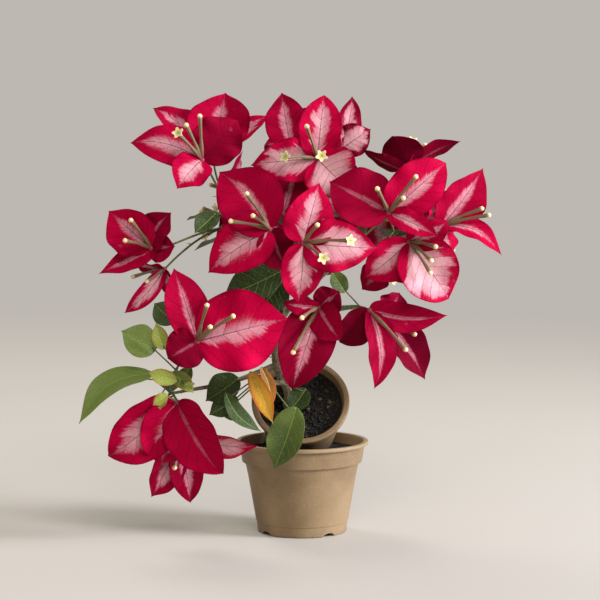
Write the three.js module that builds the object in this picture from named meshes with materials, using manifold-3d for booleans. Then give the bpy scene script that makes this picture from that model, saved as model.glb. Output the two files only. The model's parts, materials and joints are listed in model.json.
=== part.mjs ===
// A young bougainvillea with variegated red and white bracts. It grows in a small pot that
// leans forward out of the soil of a larger standing pot. Millimetres, +Z up, the origin at the
// centre of the larger pot's flat underside, and the front of the plant towards -Y.
//
// Limbs, twigs, leaves and flower heads are worked out from the sizes below. The turn of a
// direction is its angle to the right of the front (-Y), its lift is its angle above the
// horizontal, and a clock is an angle round a head's axis, clockwise from the top as the
// head's face is seen. Angles are in degrees.
import * as THREE from "three";
import { mergeVertices } from "three/addons/utils/BufferGeometryUtils.js";
import Module from "manifold-3d";

const wasm = await Module();
wasm.setup();

// ---------------------------------------------------------------- pots and soil

const GAP = 0.3; // between solids that meet

// The standing pot: a tapered wall with a band at its foot, under a collar with a rolled lip.
const outerPot = {
  footRadius: 33.6,
  bandHeight: 7.2,
  bandStep: 0.5,
  neckRadius: 42.8,
  height: 68.7,
  collarHeight: 15.7,
  collarRadius: [45.4, 47.2], // at its bottom and its top
  lipHeight: 2.7,
  lipRadius: 50,
  mouthRadius: 46.6,
  rounding: 0.7,
  wall: 1.8,
  floor: 2.5,
  soilLevel: 61,
};
const notch = { count: 4, radius: 5.2, height: 2.4, depth: 8, firstTurn: 37 };

// The leaning pot, in its own frame: its axis is +Z and its underside is at 0.
const innerPot = {
  footRadius: 25,
  neckRadius: 34.4,
  height: 54,
  lipHeight: 3.4,
  lipRadius: 36.9,
  mouthRadius: 32.6,
  rounding: 0.8,
  wall: 1.8,
  floor: 2.2,
  soilLevel: 47.5,
};
const lean = { tilt: 52, mouth: [-1.2, -8, 100] }; // from upright, and the centre of its mouth

const POT_SIDES = 32;

// ---------------------------------------------------------------- the plant's sizes

const trunkRadius = { flare: 6.4, base: 4.4, tip: 2.6, flareShare: 0.12 };
const boughRadius = { base: 2, tip: 1.3 };
const stemRadius = { base: 1.2, tip: 0.9 };
const twigRadius = { base: 0.9, tip: 0.7 };
const stalkRadius = 0.6;

const bractShape = { thick: 0.9, fold: 13, root: 0.45, tip: 0.5, drawn: 6, crowding: 1.2 };
const floretRadius = [1.2, 1.7]; // from its base to its mouth
const knotRadius = 2.3; // where a head's bracts and florets meet
const leafShape = { thick: 0.8, fold: 0.1, droop: 0.1, widest: 1.3, point: 0.25, held: 0.12 };
const usual = { opens: 70, curls: 30 }; // how a bract leaves its head's axis, and turns on

// Sides and steps of each kind of limb and blade.
const detail = {
  trunk: [8, 14],
  bough: [6, 6],
  stem: [4, 1],
  twig: [3, 4],
  stalk: [3, 1],
  floret: [3, 1],
  knot: [4, 2],
  bract: [10, 2],
  leaf: [8, 2],
};

// Twigs leave their stem from this share of its length, over this run of it. A curve's handles
// reach this share of its length, and stalks look for the nearest of so many stops on a twig.
const branching = { from: 0.25, run: 0.7, ease: 0.4, stops: 12 };

// A leaf by rule starts this far off its twig, faces lift, and turns about the back. A range is
// its least and how much more a draw may add.
const sprayLeaf = {
  clear: 6, lift: 60, back: 180, spread: 100, wide: 0.62,
  twig: [0.3, 0.5], rise: [10, -40], long: [28, 14],
};

// The trunk starts in the leaning pot's soil: this far right of and above the pot's axis. It
// rises along that axis first.
const trunkFoot = [-7, -1];
const trunkRise = 6;
const trunkPlaces = [
  [-10, -13, 108],
  [-19, -28, 132],
  [-17, -24, 152],
  [-14, -20, 172],
];

// Boughs leave the trunk at a share of its length. Each ends where its mass of foliage starts.
const boughs = {
  foot: { from: 0.3, places: [[-22, -38, 117], [-27, -50, 122]] },
  low_left: { from: 0.5, places: [[-52, -40, 118], [-84, -50, 113]] },
  front_low: { from: 0.68, places: [[-2, -40, 166], [2, -44, 172]] },
  upper_left: { from: 0.86, places: [[-32, -26, 200], [-40, -30, 216]] },
  right: { from: 0.76, places: [[12, -20, 170], [32, -24, 172]] },
  upper_right: { from: 0.92, places: [[22, -16, 200], [54, -24, 216]] },
  upper: { from: 1, places: [[-8, -14, 200], [-2, -22, 226]] },
  back_left: { from: 0.8, places: [[-22, 14, 196], [-26, 34, 222]] },
  back_right: { from: 0.88, places: [[12, 16, 196], [38, 34, 214]] },
  back: { from: 0.96, places: [[-6, 12, 208], [2, 34, 242]] },
};

// ---------------------------------------------------------------- flower heads and leaves

// A head is at a place and faces turn, lift. Its bracts are [clock, long, wide, opens, curls],
// and its florets [clock, long, leans]. A leaf reaches from its stalk to its tip, wide across,
// and faces turn, lift. stem is the length of the mass's stem from the bough, and spray says how
// many leaves grow by rule on its twigs, facing round to the back.
const masses = {
  low_left: {
    stem: 14,
    spray: 2,
    seed: 3,
    heads: [
      {
        at: [-75, -88, 153], turn: 8, lift: 10,
        bracts: [[77, 68, 60, 69, 25], [343, 56, 32, 74], [239, 26, 32, 65, 40]],
        florets: [[13, 32, 48], [56, 37, 48], [40, 29, 21]],
      },
      {
        at: [-91, -62, 106], turn: -5, lift: -20,
        bracts: [[197, 50, 44, 56], [146, 66, 42, 46, 35], [233, 68, 43, 60, 25]],
        florets: [],
      },
      {
        at: [-90, -44, 77], turn: 15, lift: -25,
        bracts: [[84, 60, 26, 51], [208, 50, 27, 57], [169, 52, 26, 52]],
        florets: [[206, 23, 38]],
      },
    ],
    leaves: [
      { from: [-108, -62, 127], to: [-163, -74, 95], wide: 24, turn: -12, lift: 40 },
      { from: [-106, -60, 144], to: [-130, -66, 159], wide: 25, turn: -10, lift: 30 },
      { from: [-92, -52, 163], to: [-109, -44, 177], wide: 18, turn: -20, lift: 20 },
      { from: [-100, -66, 145], to: [-105, -70, 164], wide: 12, turn: 10, lift: 10 },
      { from: [-95, -72, 129], to: [-78, -80, 116], wide: 12, turn: 0, lift: 30 },
      { from: [-103, -66, 112], to: [-103, -70, 102], wide: 11, turn: -10, lift: 10 },
    ],
  },
  front_low: {
    stem: 6,
    spray: 0,
    seed: 5,
    heads: [
      {
        at: [12, -72, 176], turn: -8, lift: -10,
        bracts: [[198, 67, 41, 63], [138, 32, 27, 37, 50], [285, 29, 14, 49], [52, 20, 24, 75]],
        florets: [[267, 27, 18], [211, 39, 50]],
      },
    ],
    leaves: [
      { from: [-14, -50, 201], to: [-58, -56, 184], wide: 30, turn: -10, lift: 25 },
      { from: [-14, -46, 194], to: [-32, -50, 172], wide: 26, turn: 0, lift: 10 },
    ],
  },
  upper_left: {
    stem: 10,
    spray: 2,
    seed: 7,
    heads: [
      {
        at: [-23, -72, 232], turn: -12, lift: 8,
        bracts: [[320, 57, 48, 67, 35], [234, 57, 39, 74], [159, 33, 29, 85, 40]],
        florets: [[332, 34, 49], [318, 27, 21], [279, 32, 46]],
      },
      {
        at: [-73, -40, 281], turn: -8, lift: 13,
        bracts: [[40, 41, 38, 79], [286, 58, 31, 73], [212, 35, 30, 37, 40]],
        florets: [[317, 30, 43], [338, 30, 48], [2, 34, 53]],
      },
      {
        at: [-66, -6, 286], turn: 5, lift: 35,
        bracts: [[11, 48, 50, 57], [307, 60, 28, 68], [54, 52, 19, 66]],
        florets: [],
      },
      {
        at: [-110, -45, 217], turn: -30, lift: 10,
        bracts: [[315, 42, 36, 47], [33, 33, 28, 64], [88, 22, 24, 70], [237, 44, 21, 82, -30]],
        florets: [[342, 27, 41], [287, 23, 21]],
      },
      {
        at: [-102, -26, 200], turn: -40, lift: -35,
        bracts: [[239, 46, 15, 6, 50], [163, 29, 20, 67], [305, 29, 15, 58]],
        florets: [[298, 23, 39], [293, 16, 14]],
      },
      {
        at: [-50, 4, 234], turn: -92, lift: 5,
        bracts: [[5, 40, 34], [125, 42, 34], [240, 38, 32]],
        florets: [],
      },
    ],
    leaves: [{ from: [-63, -37, 242], to: [-78, -52, 230], wide: 17, turn: -10, lift: 30 }],
  },
  upper: {
    stem: 12,
    spray: 2,
    seed: 11,
    heads: [
      {
        at: [1, -100, 224], turn: 5, lift: 0,
        bracts: [[13, 47, 35, 84], [96, 55, 36, 76], [182, 45, 30, 85]],
        florets: [[27, 29, 32], [85, 36, 58], [128, 29, 29]],
      },
      {
        at: [-14, -38, 242], turn: 0, lift: 25,
        bracts: [[18, 35, 32, 67, 25], [301, 31, 26, 84, 25], [111, 35, 26, 105, 25]],
        florets: [],
      },
      {
        at: [11, -45, 282], turn: 0, lift: 10,
        bracts: [[266, 51, 33, 80], [139, 34, 42, 65], [5, 50, 32, 74]],
        florets: [[268, 27, 58], [133, 30, 7], [339, 30, 44]],
      },
      {
        at: [-8, -6, 289], turn: -10, lift: 25,
        bracts: [[346, 43, 32, 54], [26, 36, 26, 82], [215, 26, 26, 94]],
        florets: [],
      },
      {
        at: [30, -8, 289], turn: 20, lift: 25,
        bracts: [[64, 26, 27, 48, 25], [15, 42, 21, 55], [215, 25, 22, 119]],
        florets: [],
      },
    ],
    leaves: [],
  },
  upper_right: {
    stem: 10,
    spray: 2,
    seed: 13,
    heads: [
      {
        at: [62, -72, 244], turn: 5, lift: 15,
        bracts: [[299, 50, 45, 82, 35], [51, 58, 39, 72, 25], [122, 41, 18, 58]],
        florets: [[322, 25, 40], [39, 35, 48], [55, 26, 19]],
      },
      {
        at: [77, -62, 223], turn: 12, lift: -12,
        bracts: [[226, 43, 33, 81], [142, 54, 46, 62, 25], [57, 35, 23, 48, 40]],
        florets: [[84, 24, 35], [126, 26, 30], [147, 29, 44]],
      },
      {
        at: [78, -14, 273], turn: 180, lift: 45,
        bracts: [[28, 29, 35, 38], [68, 38, 15, 97, -40], [295, 46, 15, 54, 40]],
        florets: [[327, 25, 18], [292, 24, 36]],
      },
      {
        at: [102, -30, 232], turn: 45, lift: 15,
        bracts: [[31, 54, 38, 42, 20], [136, 52, 17, 23, 60], [155, 36, 27, 98]],
        florets: [[89, 36, 27], [69, 32, 33]],
      },
      {
        at: [88, 0, 222], turn: 88, lift: 5,
        bracts: [[350, 38, 32], [115, 40, 34], [235, 40, 32]],
        florets: [],
      },
    ],
    leaves: [{ from: [61, -40, 221], to: [54, -44, 201], wide: 15, turn: 10, lift: 10 }],
  },
  right: {
    stem: 8,
    spray: 1,
    seed: 17,
    heads: [
      {
        at: [49, -52, 172], turn: 25, lift: 5,
        bracts: [[175, 60, 24, 72, 35], [94, 58, 23, 73, -20], [218, 35, 30, 98, 35]],
        florets: [[149, 39, 58]],
      },
      {
        at: [61, -22, 164], turn: 35, lift: -5,
        bracts: [[155, 56, 32, 55, 20], [34, 22, 33, 74, 20], [353, 15, 18, 126]],
        florets: [[150, 32, 15]],
      },
    ],
    leaves: [{ from: [32, -36, 184], to: [22, -42, 201], wide: 13, turn: 10, lift: 10 }],
  },
  foot: {
    stem: 8,
    spray: 0,
    seed: 19,
    heads: [],
    leaves: [
      { from: [-38, -58, 128], to: [-22, -67, 91], wide: 14, turn: -15, lift: 20 },
      { from: [-46, -50, 122], to: [-71, -56, 107], wide: 24, turn: -10, lift: 30 },
      { from: [-47, -54, 108], to: [-68, -60, 97], wide: 17, turn: 0, lift: 30 },
      { from: [-54, -60, 112], to: [-30, -68, 88], wide: 13, turn: 5, lift: 40 },
      { from: [-5, -60, 102], to: [-22, -66, 58], wide: 26, turn: -20, lift: 15 },
      { from: [3, -42, 113], to: [-10, -52, 98], wide: 17, turn: 0, lift: 35 },
    ],
  },
  back_left: {
    stem: 10,
    spray: 4,
    seed: 23,
    heads: [
      {
        at: [-44, 46, 250], turn: -110, lift: 10,
        bracts: [[20, 40, 34], [150, 42, 32], [250, 46, 34]],
        florets: [],
      },
      {
        at: [-28, 80, 226], turn: -150, lift: 0,
        bracts: [[350, 46, 34], [110, 50, 36], [235, 48, 34]],
        florets: [[60, 27, 24], [180, 25, 30], [300, 28, 28]],
      },
    ],
    leaves: [],
  },
  back_right: {
    stem: 10,
    spray: 4,
    seed: 29,
    heads: [
      {
        at: [54, 74, 228], turn: 155, lift: 5,
        bracts: [[10, 38, 34], [130, 46, 34], [255, 50, 34]],
        florets: [[60, 27, 24], [180, 25, 30], [300, 28, 28]],
      },
      {
        at: [84, 44, 244], turn: 105, lift: 10,
        bracts: [[0, 43, 34], [125, 46, 32], [240, 48, 34]],
        florets: [],
      },
      {
        at: [61, 47, 203], turn: 140, lift: -15,
        bracts: [[20, 44, 34], [150, 30, 28], [262, 42, 30]],
        florets: [],
      },
    ],
    leaves: [],
  },
  back: {
    stem: 10,
    spray: 4,
    seed: 53,
    heads: [
      {
        at: [-6, 48, 286], turn: -165, lift: 40,
        bracts: [[345, 46, 36], [78, 26, 30], [225, 48, 34]],
        florets: [],
      },
      {
        at: [24, 56, 268], turn: 165, lift: 35,
        bracts: [[5, 46, 34], [125, 44, 36], [283, 22, 28]],
        florets: [],
      },
      {
        at: [12, 92, 248], turn: 180, lift: 15,
        bracts: [[355, 50, 38], [122, 46, 32], [240, 50, 36]],
        florets: [[60, 27, 24], [180, 25, 30], [300, 28, 28]],
      },
      {
        at: [8, 70, 210], turn: 178, lift: -20,
        bracts: [[0, 44, 32], [120, 46, 32], [240, 30, 30]],
        florets: [],
      },
    ],
    leaves: [],
  },
};

// ---------------------------------------------------------------- directions and draws

const rad = THREE.MathUtils.degToRad;
const vec = (place) => new THREE.Vector3(...place);

function direction(turn, lift) {
  const level = Math.cos(rad(lift));
  return new THREE.Vector3(Math.sin(rad(turn)) * level, -Math.cos(rad(turn)) * level, Math.sin(rad(lift)));
}

// A head's own directions: ahead along its axis, up its face, and to the right of its face.
function facing(turn, lift) {
  const axis = direction(turn, lift);
  const up = new THREE.Vector3(0, 0, 1).addScaledVector(axis, -axis.z).normalize();
  return { axis, up, right: new THREE.Vector3().crossVectors(up, axis) };
}

function onClock({ up, right }, clock) {
  const out = up.clone().multiplyScalar(Math.cos(rad(clock)));
  return out.addScaledVector(right, Math.sin(rad(clock)));
}

// The same draws from 0 to 1 each time, by a linear congruential rule.
function seededDraws(seed) {
  let state = seed;
  return () => {
    state = (Math.imul(state, 1664525) + 1013904223) >>> 0;
    return state / 2 ** 32;
  };
}

// ---------------------------------------------------------------- solids and meshes

function solidOf(geometry) {
  geometry.deleteAttribute("normal");
  geometry.deleteAttribute("uv");
  const merged = mergeVertices(geometry, 1e-4);
  const vertProperties = new Float32Array(merged.getAttribute("position").array);
  const triVerts = new Uint32Array(merged.index.array);
  return new wasm.Manifold(new wasm.Mesh({ numProp: 3, vertProperties, triVerts }));
}

// A closed solid from a geometry whose every vertex moves to the place that shape gives.
function shaped(geometry, shape) {
  const places = geometry.getAttribute("position");
  const vertex = new THREE.Vector3();
  for (let i = 0; i < places.count; i++) {
    vertex.fromBufferAttribute(places, i);
    places.setXYZ(i, ...shape(vertex));
  }
  return solidOf(geometry);
}

function meshOf(solid, name, material) {
  const { vertProperties, triVerts } = solid.getMesh();
  const geometry = new THREE.BufferGeometry();
  geometry.setAttribute("position", new THREE.BufferAttribute(new Float32Array(vertProperties), 3));
  geometry.setIndex(new THREE.BufferAttribute(new Uint32Array(triVerts), 1));
  geometry.computeVertexNormals();
  const mesh = new THREE.Mesh(geometry, material);
  mesh.name = name;
  return mesh;
}

const meets = (one, other) => one.intersect(other).volume() > 0;
const fuse = (solids) => solids.reduce((whole, solid) => whole.add(solid));

// The largest of a solid's separate bodies: loose scraps are dropped.
function mainBody(solid) {
  return solid.decompose().reduce((most, body) => (body.volume() > most.volume() ? body : most));
}

// ---------------------------------------------------------------- pots

function turned(profile) {
  const points = profile.map(([radius, height]) => new THREE.Vector2(radius, height));
  return solidOf(new THREE.LatheGeometry(points, POT_SIDES).rotateX(Math.PI / 2));
}

// The outline of a pot's outside from the axis to the top of its lip, grown by grow.
function outsideOf(pot, grow = 0) {
  const { rounding: round, height, lipHeight, lipRadius, neckRadius, footRadius } = pot;
  const low = [[0, -grow], [footRadius + grow, -grow]];
  const lip = [
    [lipRadius - round + grow, height - lipHeight],
    [lipRadius + grow, height - lipHeight + round],
    [lipRadius + grow, height - round],
    [lipRadius - round + grow, height],
  ];
  if (!pot.collarHeight) return [...low, [neckRadius + grow, height - lipHeight], ...lip];
  const collarFoot = height - pot.collarHeight;
  const slope = (neckRadius - footRadius) / collarFoot;
  const band = footRadius + slope * pot.bandHeight;
  return [
    ...low,
    [band - pot.bandStep, pot.bandHeight],
    [band, pot.bandHeight + pot.bandStep],
    [neckRadius, collarFoot],
    [pot.collarRadius[0] - round, collarFoot],
    [pot.collarRadius[0], collarFoot + round],
    [pot.collarRadius[1], height - lipHeight],
    ...lip,
  ];
}

// The radius of a pot's inside at a height above its floor.
function insideRadius(pot, level) {
  const top = pot.mouthRadius;
  const bottom = pot.footRadius - pot.wall;
  return bottom + ((top - bottom) * level) / pot.height;
}

function potSolid(pot) {
  return turned([
    ...outsideOf(pot),
    [pot.mouthRadius + pot.rounding, pot.height],
    [pot.mouthRadius, pot.height - pot.rounding],
    [insideRadius(pot, pot.floor), pot.floor],
    [0, pot.floor],
  ]);
}

function soilSolid(pot) {
  const [low, high] = [pot.floor + GAP, pot.soilLevel];
  return turned([
    [0, low],
    [insideRadius(pot, low) - GAP, low],
    [insideRadius(pot, high) - GAP, high],
    [0, high],
  ]);
}

// Half-round drain notches under the edge of the standing pot's foot.
function notchSolids() {
  return Array.from({ length: notch.count }, (_, k) => {
    const turn = notch.firstTurn + (360 / notch.count) * k;
    const tunnel = new THREE.CylinderGeometry(notch.radius, notch.radius, 2 * notch.depth, 16);
    tunnel.scale(1, 1, notch.height / notch.radius);
    tunnel.translate(0, -outerPot.footRadius, 0);
    return solidOf(tunnel.rotateZ(rad(turn)));
  });
}

// ---------------------------------------------------------------- limbs and blades

// A closed limb round a curve. radiusAt gives its radius from 0 at its start to 1 at its end.
function limb(curve, radiusAt, [sides, steps]) {
  const { normals, binormals } = curve.computeFrenetFrames(steps, false);
  return shaped(new THREE.CylinderGeometry(1, 1, 1, sides, steps), ({ x, y, z }) => {
    const along = y + 0.5;
    const step = Math.round(along * steps);
    const place = curve.getPointAt(along);
    place.addScaledVector(binormals[step], x * radiusAt(along));
    return place.addScaledVector(normals[step], z * radiusAt(along));
  });
}

const taper = (from, to, grow = 0) => (along) => from + (to - from) * along + grow;

// A curve from one place to another that leaves and arrives along the given directions.
function bend(from, leaving, to, arriving) {
  const reach = from.distanceTo(to) * branching.ease;
  const after = from.clone().addScaledVector(leaving, reach);
  const before = to.clone().addScaledVector(arriving, -reach);
  return new THREE.CubicBezierCurve3(from, after, before, to);
}

// Half a bract's outline, from full at its root to drawn out at its tip.
function bractOutline(along) {
  const { root, tip, drawn } = bractShape;
  return along ** root * (1 - along) ** tip * (1 - along ** drawn);
}

const bractMost = Math.max(...Array.from({ length: 101 }, (_, k) => bractOutline(k / 100)));

// A bract's midrib is an arc that leaves the head's axis at the angle opens and turns on by
// curls. Its two halves are folded up about the midrib, and it thins to its edge.
function bract(head, [clock, long, wide, opens = usual.opens, curls = usual.curls], grow = 0) {
  const frame = facing(head.turn, head.lift);
  const out = onClock(frame, clock);
  const across = new THREE.Vector3().crossVectors(frame.axis, out);
  const [start, bent] = [rad(opens), rad(curls)];
  const fold = rad(bractShape.fold);
  return shaped(new THREE.SphereGeometry(1, ...detail.bract), ({ x, y, z }) => {
    const along = ((1 + x) / 2) ** bractShape.crowding;
    const angle = start + bent * along;
    const normal = frame.axis.clone().multiplyScalar(Math.sin(angle));
    normal.addScaledVector(out, -Math.cos(angle));
    const half = ((wide / 2) * bractOutline(along)) / bractMost + grow;
    const side = Math.abs(z) < 1e-6 ? 0 : -Math.sign(z) * half;
    const raised = Math.abs(side) * Math.sin(fold) + y * (bractShape.thick / 2 + grow);
    return vec(head.at)
      .addScaledVector(frame.axis, (long * (Math.sin(angle) - Math.sin(start))) / bent)
      .addScaledVector(out, (long * (Math.cos(start) - Math.cos(angle))) / bent)
      .addScaledVector(across, side * Math.cos(fold))
      .addScaledVector(normal, raised);
  });
}

// The knot in which a head's bracts and florets meet.
function knot(head, grow) {
  const geometry = new THREE.SphereGeometry(knotRadius + grow, ...detail.knot);
  return shaped(geometry, (place) => place.add(vec(head.at)));
}

// A floret is a slim tube with a swollen base and a flared mouth.
function floret(head, [clock, long, leans], grow = 0) {
  const frame = facing(head.turn, head.lift);
  const way = frame.axis.clone().multiplyScalar(Math.cos(rad(leans)));
  way.addScaledVector(onClock(frame, clock), Math.sin(rad(leans)));
  const line = new THREE.LineCurve3(vec(head.at), vec(head.at).addScaledVector(way, long));
  return limb(line, taper(...floretRadius, grow), detail.floret);
}

// A leaf has a raised midrib inside an outline that is widest near its stalk and drawn out to
// a point.
function leaf({ from, to, wide, turn, lift }, grow = 0) {
  const ahead = vec(to).sub(vec(from));
  const long = ahead.length();
  ahead.normalize();
  const normal = direction(turn, lift);
  normal.addScaledVector(ahead, -normal.dot(ahead)).normalize();
  const across = new THREE.Vector3().crossVectors(normal, ahead);
  const { thick, fold, droop, widest, point } = leafShape;
  return shaped(new THREE.SphereGeometry(1, ...detail.leaf), ({ x, y, z }) => {
    const along = ((1 + x) / 2) ** widest;
    const side = -z * (1 - point * x);
    const raised = Math.abs(side) * wide * fold - along ** 2 * long * droop;
    return vec(from)
      .addScaledVector(ahead, along * long + x * grow)
      .addScaledVector(across, side * (wide / 2 + grow))
      .addScaledVector(normal, raised + y * (thick / 2 + grow));
  });
}

// ---------------------------------------------------------------- growing the plant

const leanMatrix = new THREE.Matrix4().makeRotationX(rad(lean.tilt));
const leanUp = new THREE.Vector3(0, 0, 1).applyMatrix4(leanMatrix);
leanMatrix.setPosition(vec(lean.mouth).addScaledVector(leanUp, -innerPot.height));

function leaning(solid) {
  return solid.transform(leanMatrix.elements);
}

function trunkCurve() {
  const foot = new THREE.Vector3(...trunkFoot, innerPot.soilLevel + GAP).applyMatrix4(leanMatrix);
  const above = foot.clone().addScaledVector(leanUp, trunkRise);
  return new THREE.CatmullRomCurve3([foot, above, ...trunkPlaces.map(vec)]);
}

function trunkRadiusAt(along, grow = 0) {
  const { flare, base, tip, flareShare } = trunkRadius;
  const flared = Math.max(0, 1 - along / flareShare) ** 2;
  return base + (tip - base) * along + (flare - base) * flared + grow;
}

// Cuts a limb clear of the limbs before it, and keeps the part that is left whole.
function clearOf(solid, grown) {
  return mainBody(grown.reduce((rest, other) => rest.subtract(other), solid));
}

const trunk = trunkCurve();
const limbs = { trunk: limb(trunk, (along) => trunkRadiusAt(along), detail.trunk) };
const grownLimbs = [limb(trunk, (along) => trunkRadiusAt(along, GAP), detail.trunk)];
const boughEnds = {};

for (const [name, { from, places }] of Object.entries(boughs)) {
  const curve = new THREE.CatmullRomCurve3([trunk.getPointAt(from), ...places.map(vec)]);
  const { base, tip } = boughRadius;
  limbs[`bough_${name}`] = clearOf(limb(curve, taper(base, tip), detail.bough), grownLimbs);
  grownLimbs.push(limb(curve, taper(base, tip, GAP), detail.bough));
  boughEnds[name] = { place: curve.getPointAt(1), way: curve.getTangentAt(1) };
}

// The place on a mass's twigs, past their first quarter, that is nearest to a place.
function nearestTwig(twigs, place) {
  const { stops } = branching;
  let best = { distance: Infinity };
  for (const twig of twigs) {
    for (let k = stops / 4; k <= stops; k++) {
      const at = twig.getPointAt(k / stops);
      const distance = at.distanceTo(place);
      if (distance < best.distance) best = { distance, at };
    }
  }
  return best.at;
}

function stalk(twigs, { from, to }) {
  const root = vec(from);
  const held = root.clone().lerp(vec(to), leafShape.held);
  const line = new THREE.LineCurve3(nearestTwig(twigs, root), held);
  return (grow) => limb(line, taper(stalkRadius, stalkRadius, grow), detail.stalk);
}

// Leaves by rule: they start beside the mass's twigs in turn, and point outwards and down.
function sprayLeaves(twigs, { spray, seed }) {
  const draw = seededDraws(seed);
  const within = ([least, more]) => least + more * draw();
  const { clear, lift, back, spread, wide } = sprayLeaf;
  return Array.from({ length: spray }, (_, k) => {
    const from = twigs[k % twigs.length].getPointAt(within(sprayLeaf.twig));
    const turn = back + spread * within([-1, 2]);
    const way = direction(turn, within(sprayLeaf.rise));
    const long = within(sprayLeaf.long);
    from.addScaledVector(way, clear);
    const to = from.clone().addScaledVector(way, long);
    return { from: [...from], to: [...to], wide: wide * long, turn, lift };
  });
}

// A mass: one stem from its bough, a twig to each head and a stalk to each leaf. A piece that
// would touch a limb or an earlier mass is skipped.
function growMass(mass, { place, way }, taken) {
  const start = place.clone().addScaledVector(way, GAP);
  const stemEnd = start.clone().addScaledVector(way, mass.stem);
  const stem = new THREE.LineCurve3(start, stemEnd);
  const count = mass.heads.length;
  const twigs = mass.heads.map((head, k) => {
    const branch = stem.getPointAt(branching.from + (branching.run * (k + 1)) / (count + 1));
    return bend(branch, way, vec(head.at), direction(head.turn, head.lift));
  });
  const carried = twigs.length ? twigs : [stem];
  const pieces = [
    (grow) => limb(stem, taper(stemRadius.base, stemRadius.tip, grow), detail.stem),
    ...twigs.map((twig) => (grow) => limb(twig, taper(twigRadius.base, twigRadius.tip, grow), detail.twig)),
    ...mass.heads.flatMap((head) => [
      (grow) => knot(head, grow),
      ...head.bracts.map((size) => (grow) => bract(head, size, grow)),
      ...head.florets.map((size) => (grow) => floret(head, size, grow)),
    ]),
  ];
  for (const size of [...mass.leaves, ...sprayLeaves(carried, mass)]) {
    const foot = stalk(carried, size);
    pieces.push((grow) => foot(grow).add(leaf(size, grow)));
  }
  const clear = pieces.filter((piece) => !taken.some((solid) => meets(piece(GAP), solid)));
  return mainBody(fuse(clear.map((piece) => piece(0))));
}

// ---------------------------------------------------------------- assembly

const finish = {
  clay: new THREE.MeshStandardMaterial({ color: 0xa58d6c, roughness: 0.8, metalness: 0 }),
  rim: new THREE.MeshStandardMaterial({ color: 0xa98c62, roughness: 0.8, metalness: 0 }),
  soil: new THREE.MeshStandardMaterial({ color: 0x241d12, roughness: 1, metalness: 0 }),
  bark: new THREE.MeshStandardMaterial({ color: 0x6a5744, roughness: 0.9, metalness: 0 }),
  bracts: new THREE.MeshStandardMaterial({ color: 0xb80b3e, roughness: 0.6, metalness: 0 }),
  leaves: new THREE.MeshStandardMaterial({ color: 0x4b5c2a, roughness: 0.6, metalness: 0 }),
};

const plant = new THREE.Group();

const outerSolid = notchSolids().reduce((rest, cut) => rest.subtract(cut), potSolid(outerPot));
const recess = leaning(turned([...outsideOf(innerPot, GAP), [0, innerPot.height]]));
const innerSolid = leaning(potSolid(innerPot));
const innerSoil = leaning(soilSolid(innerPot));
plant.add(meshOf(outerSolid, "outer_pot", finish.clay));
plant.add(meshOf(mainBody(soilSolid(outerPot).subtract(recess)), "outer_soil", finish.soil));
plant.add(meshOf(innerSolid, "inner_pot", finish.rim));
plant.add(meshOf(innerSoil, "inner_soil", finish.soil));

for (const [name, solid] of Object.entries(limbs)) plant.add(meshOf(solid, name, finish.bark));

const taken = [outerSolid, innerSolid, innerSoil, ...Object.values(limbs)];
for (const [name, mass] of Object.entries(masses)) {
  const solid = growMass(mass, boughEnds[name], taken);
  taken.push(solid);
  plant.add(meshOf(solid, `mass_${name}`, mass.heads.length ? finish.bracts : finish.leaves));
}

export default plant;
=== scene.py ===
"""A young potted bougainvillea, dressed for rendering round its CAD frame.

Sizes and places are in millimetres, as in the part's source, and meshes are in metres. A turn is
an angle to the right of the front (-Y), a lift is an angle above the horizontal, and a clock is
an angle round a flower head's axis, clockwise from the top as its face is seen. All are degrees.
"""

import json
import logging
import math
import random
from dataclasses import dataclass, field
from enum import Enum
from itertools import combinations, product
from typing import Any, Callable, Dict, List, Optional, Sequence, Tuple, Union

import bpy
import numpy as np
from mathutils import Matrix, Vector

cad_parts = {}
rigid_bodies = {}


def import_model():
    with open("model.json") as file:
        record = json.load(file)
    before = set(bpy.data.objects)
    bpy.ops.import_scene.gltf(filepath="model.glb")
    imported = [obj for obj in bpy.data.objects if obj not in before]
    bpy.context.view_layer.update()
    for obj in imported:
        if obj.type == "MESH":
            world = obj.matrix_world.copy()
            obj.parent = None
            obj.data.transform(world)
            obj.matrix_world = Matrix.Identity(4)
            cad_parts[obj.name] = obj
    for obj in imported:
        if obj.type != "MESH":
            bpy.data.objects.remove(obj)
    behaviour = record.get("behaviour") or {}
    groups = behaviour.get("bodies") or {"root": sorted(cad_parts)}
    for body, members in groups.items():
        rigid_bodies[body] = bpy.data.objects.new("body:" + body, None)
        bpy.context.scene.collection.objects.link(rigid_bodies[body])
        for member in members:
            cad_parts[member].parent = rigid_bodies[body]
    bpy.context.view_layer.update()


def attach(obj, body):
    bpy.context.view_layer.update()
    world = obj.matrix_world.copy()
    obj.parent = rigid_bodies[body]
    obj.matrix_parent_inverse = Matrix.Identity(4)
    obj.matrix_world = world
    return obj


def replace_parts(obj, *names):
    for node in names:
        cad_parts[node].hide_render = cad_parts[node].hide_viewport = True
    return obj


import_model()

log = logging.getLogger("bougainvillea")

MM = 0.001
ANY_PHASE = (0.0, 6.28)  # where a wave that is dealt by chance may start, in radians
ASKEW = (0.31, 0.17, 0.93)  # a direction that no limb runs along
UPWARDS = (0.0, 0.0, 1.0)
REAR = 180.0  # the turn that faces straight back
Array = np.ndarray
Place = Tuple[float, float, float]
Colour = Tuple[float, float, float, float]
Relief = Callable[[float, Array], Array]


class Slot(Enum):
    """The record's material slots."""

    POT = "pot"
    INNER_POT = "inner_pot"
    SOIL = "soil"
    BARK = "bark"
    BRACTS = "bracts"
    LEAVES = "leaves"


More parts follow.
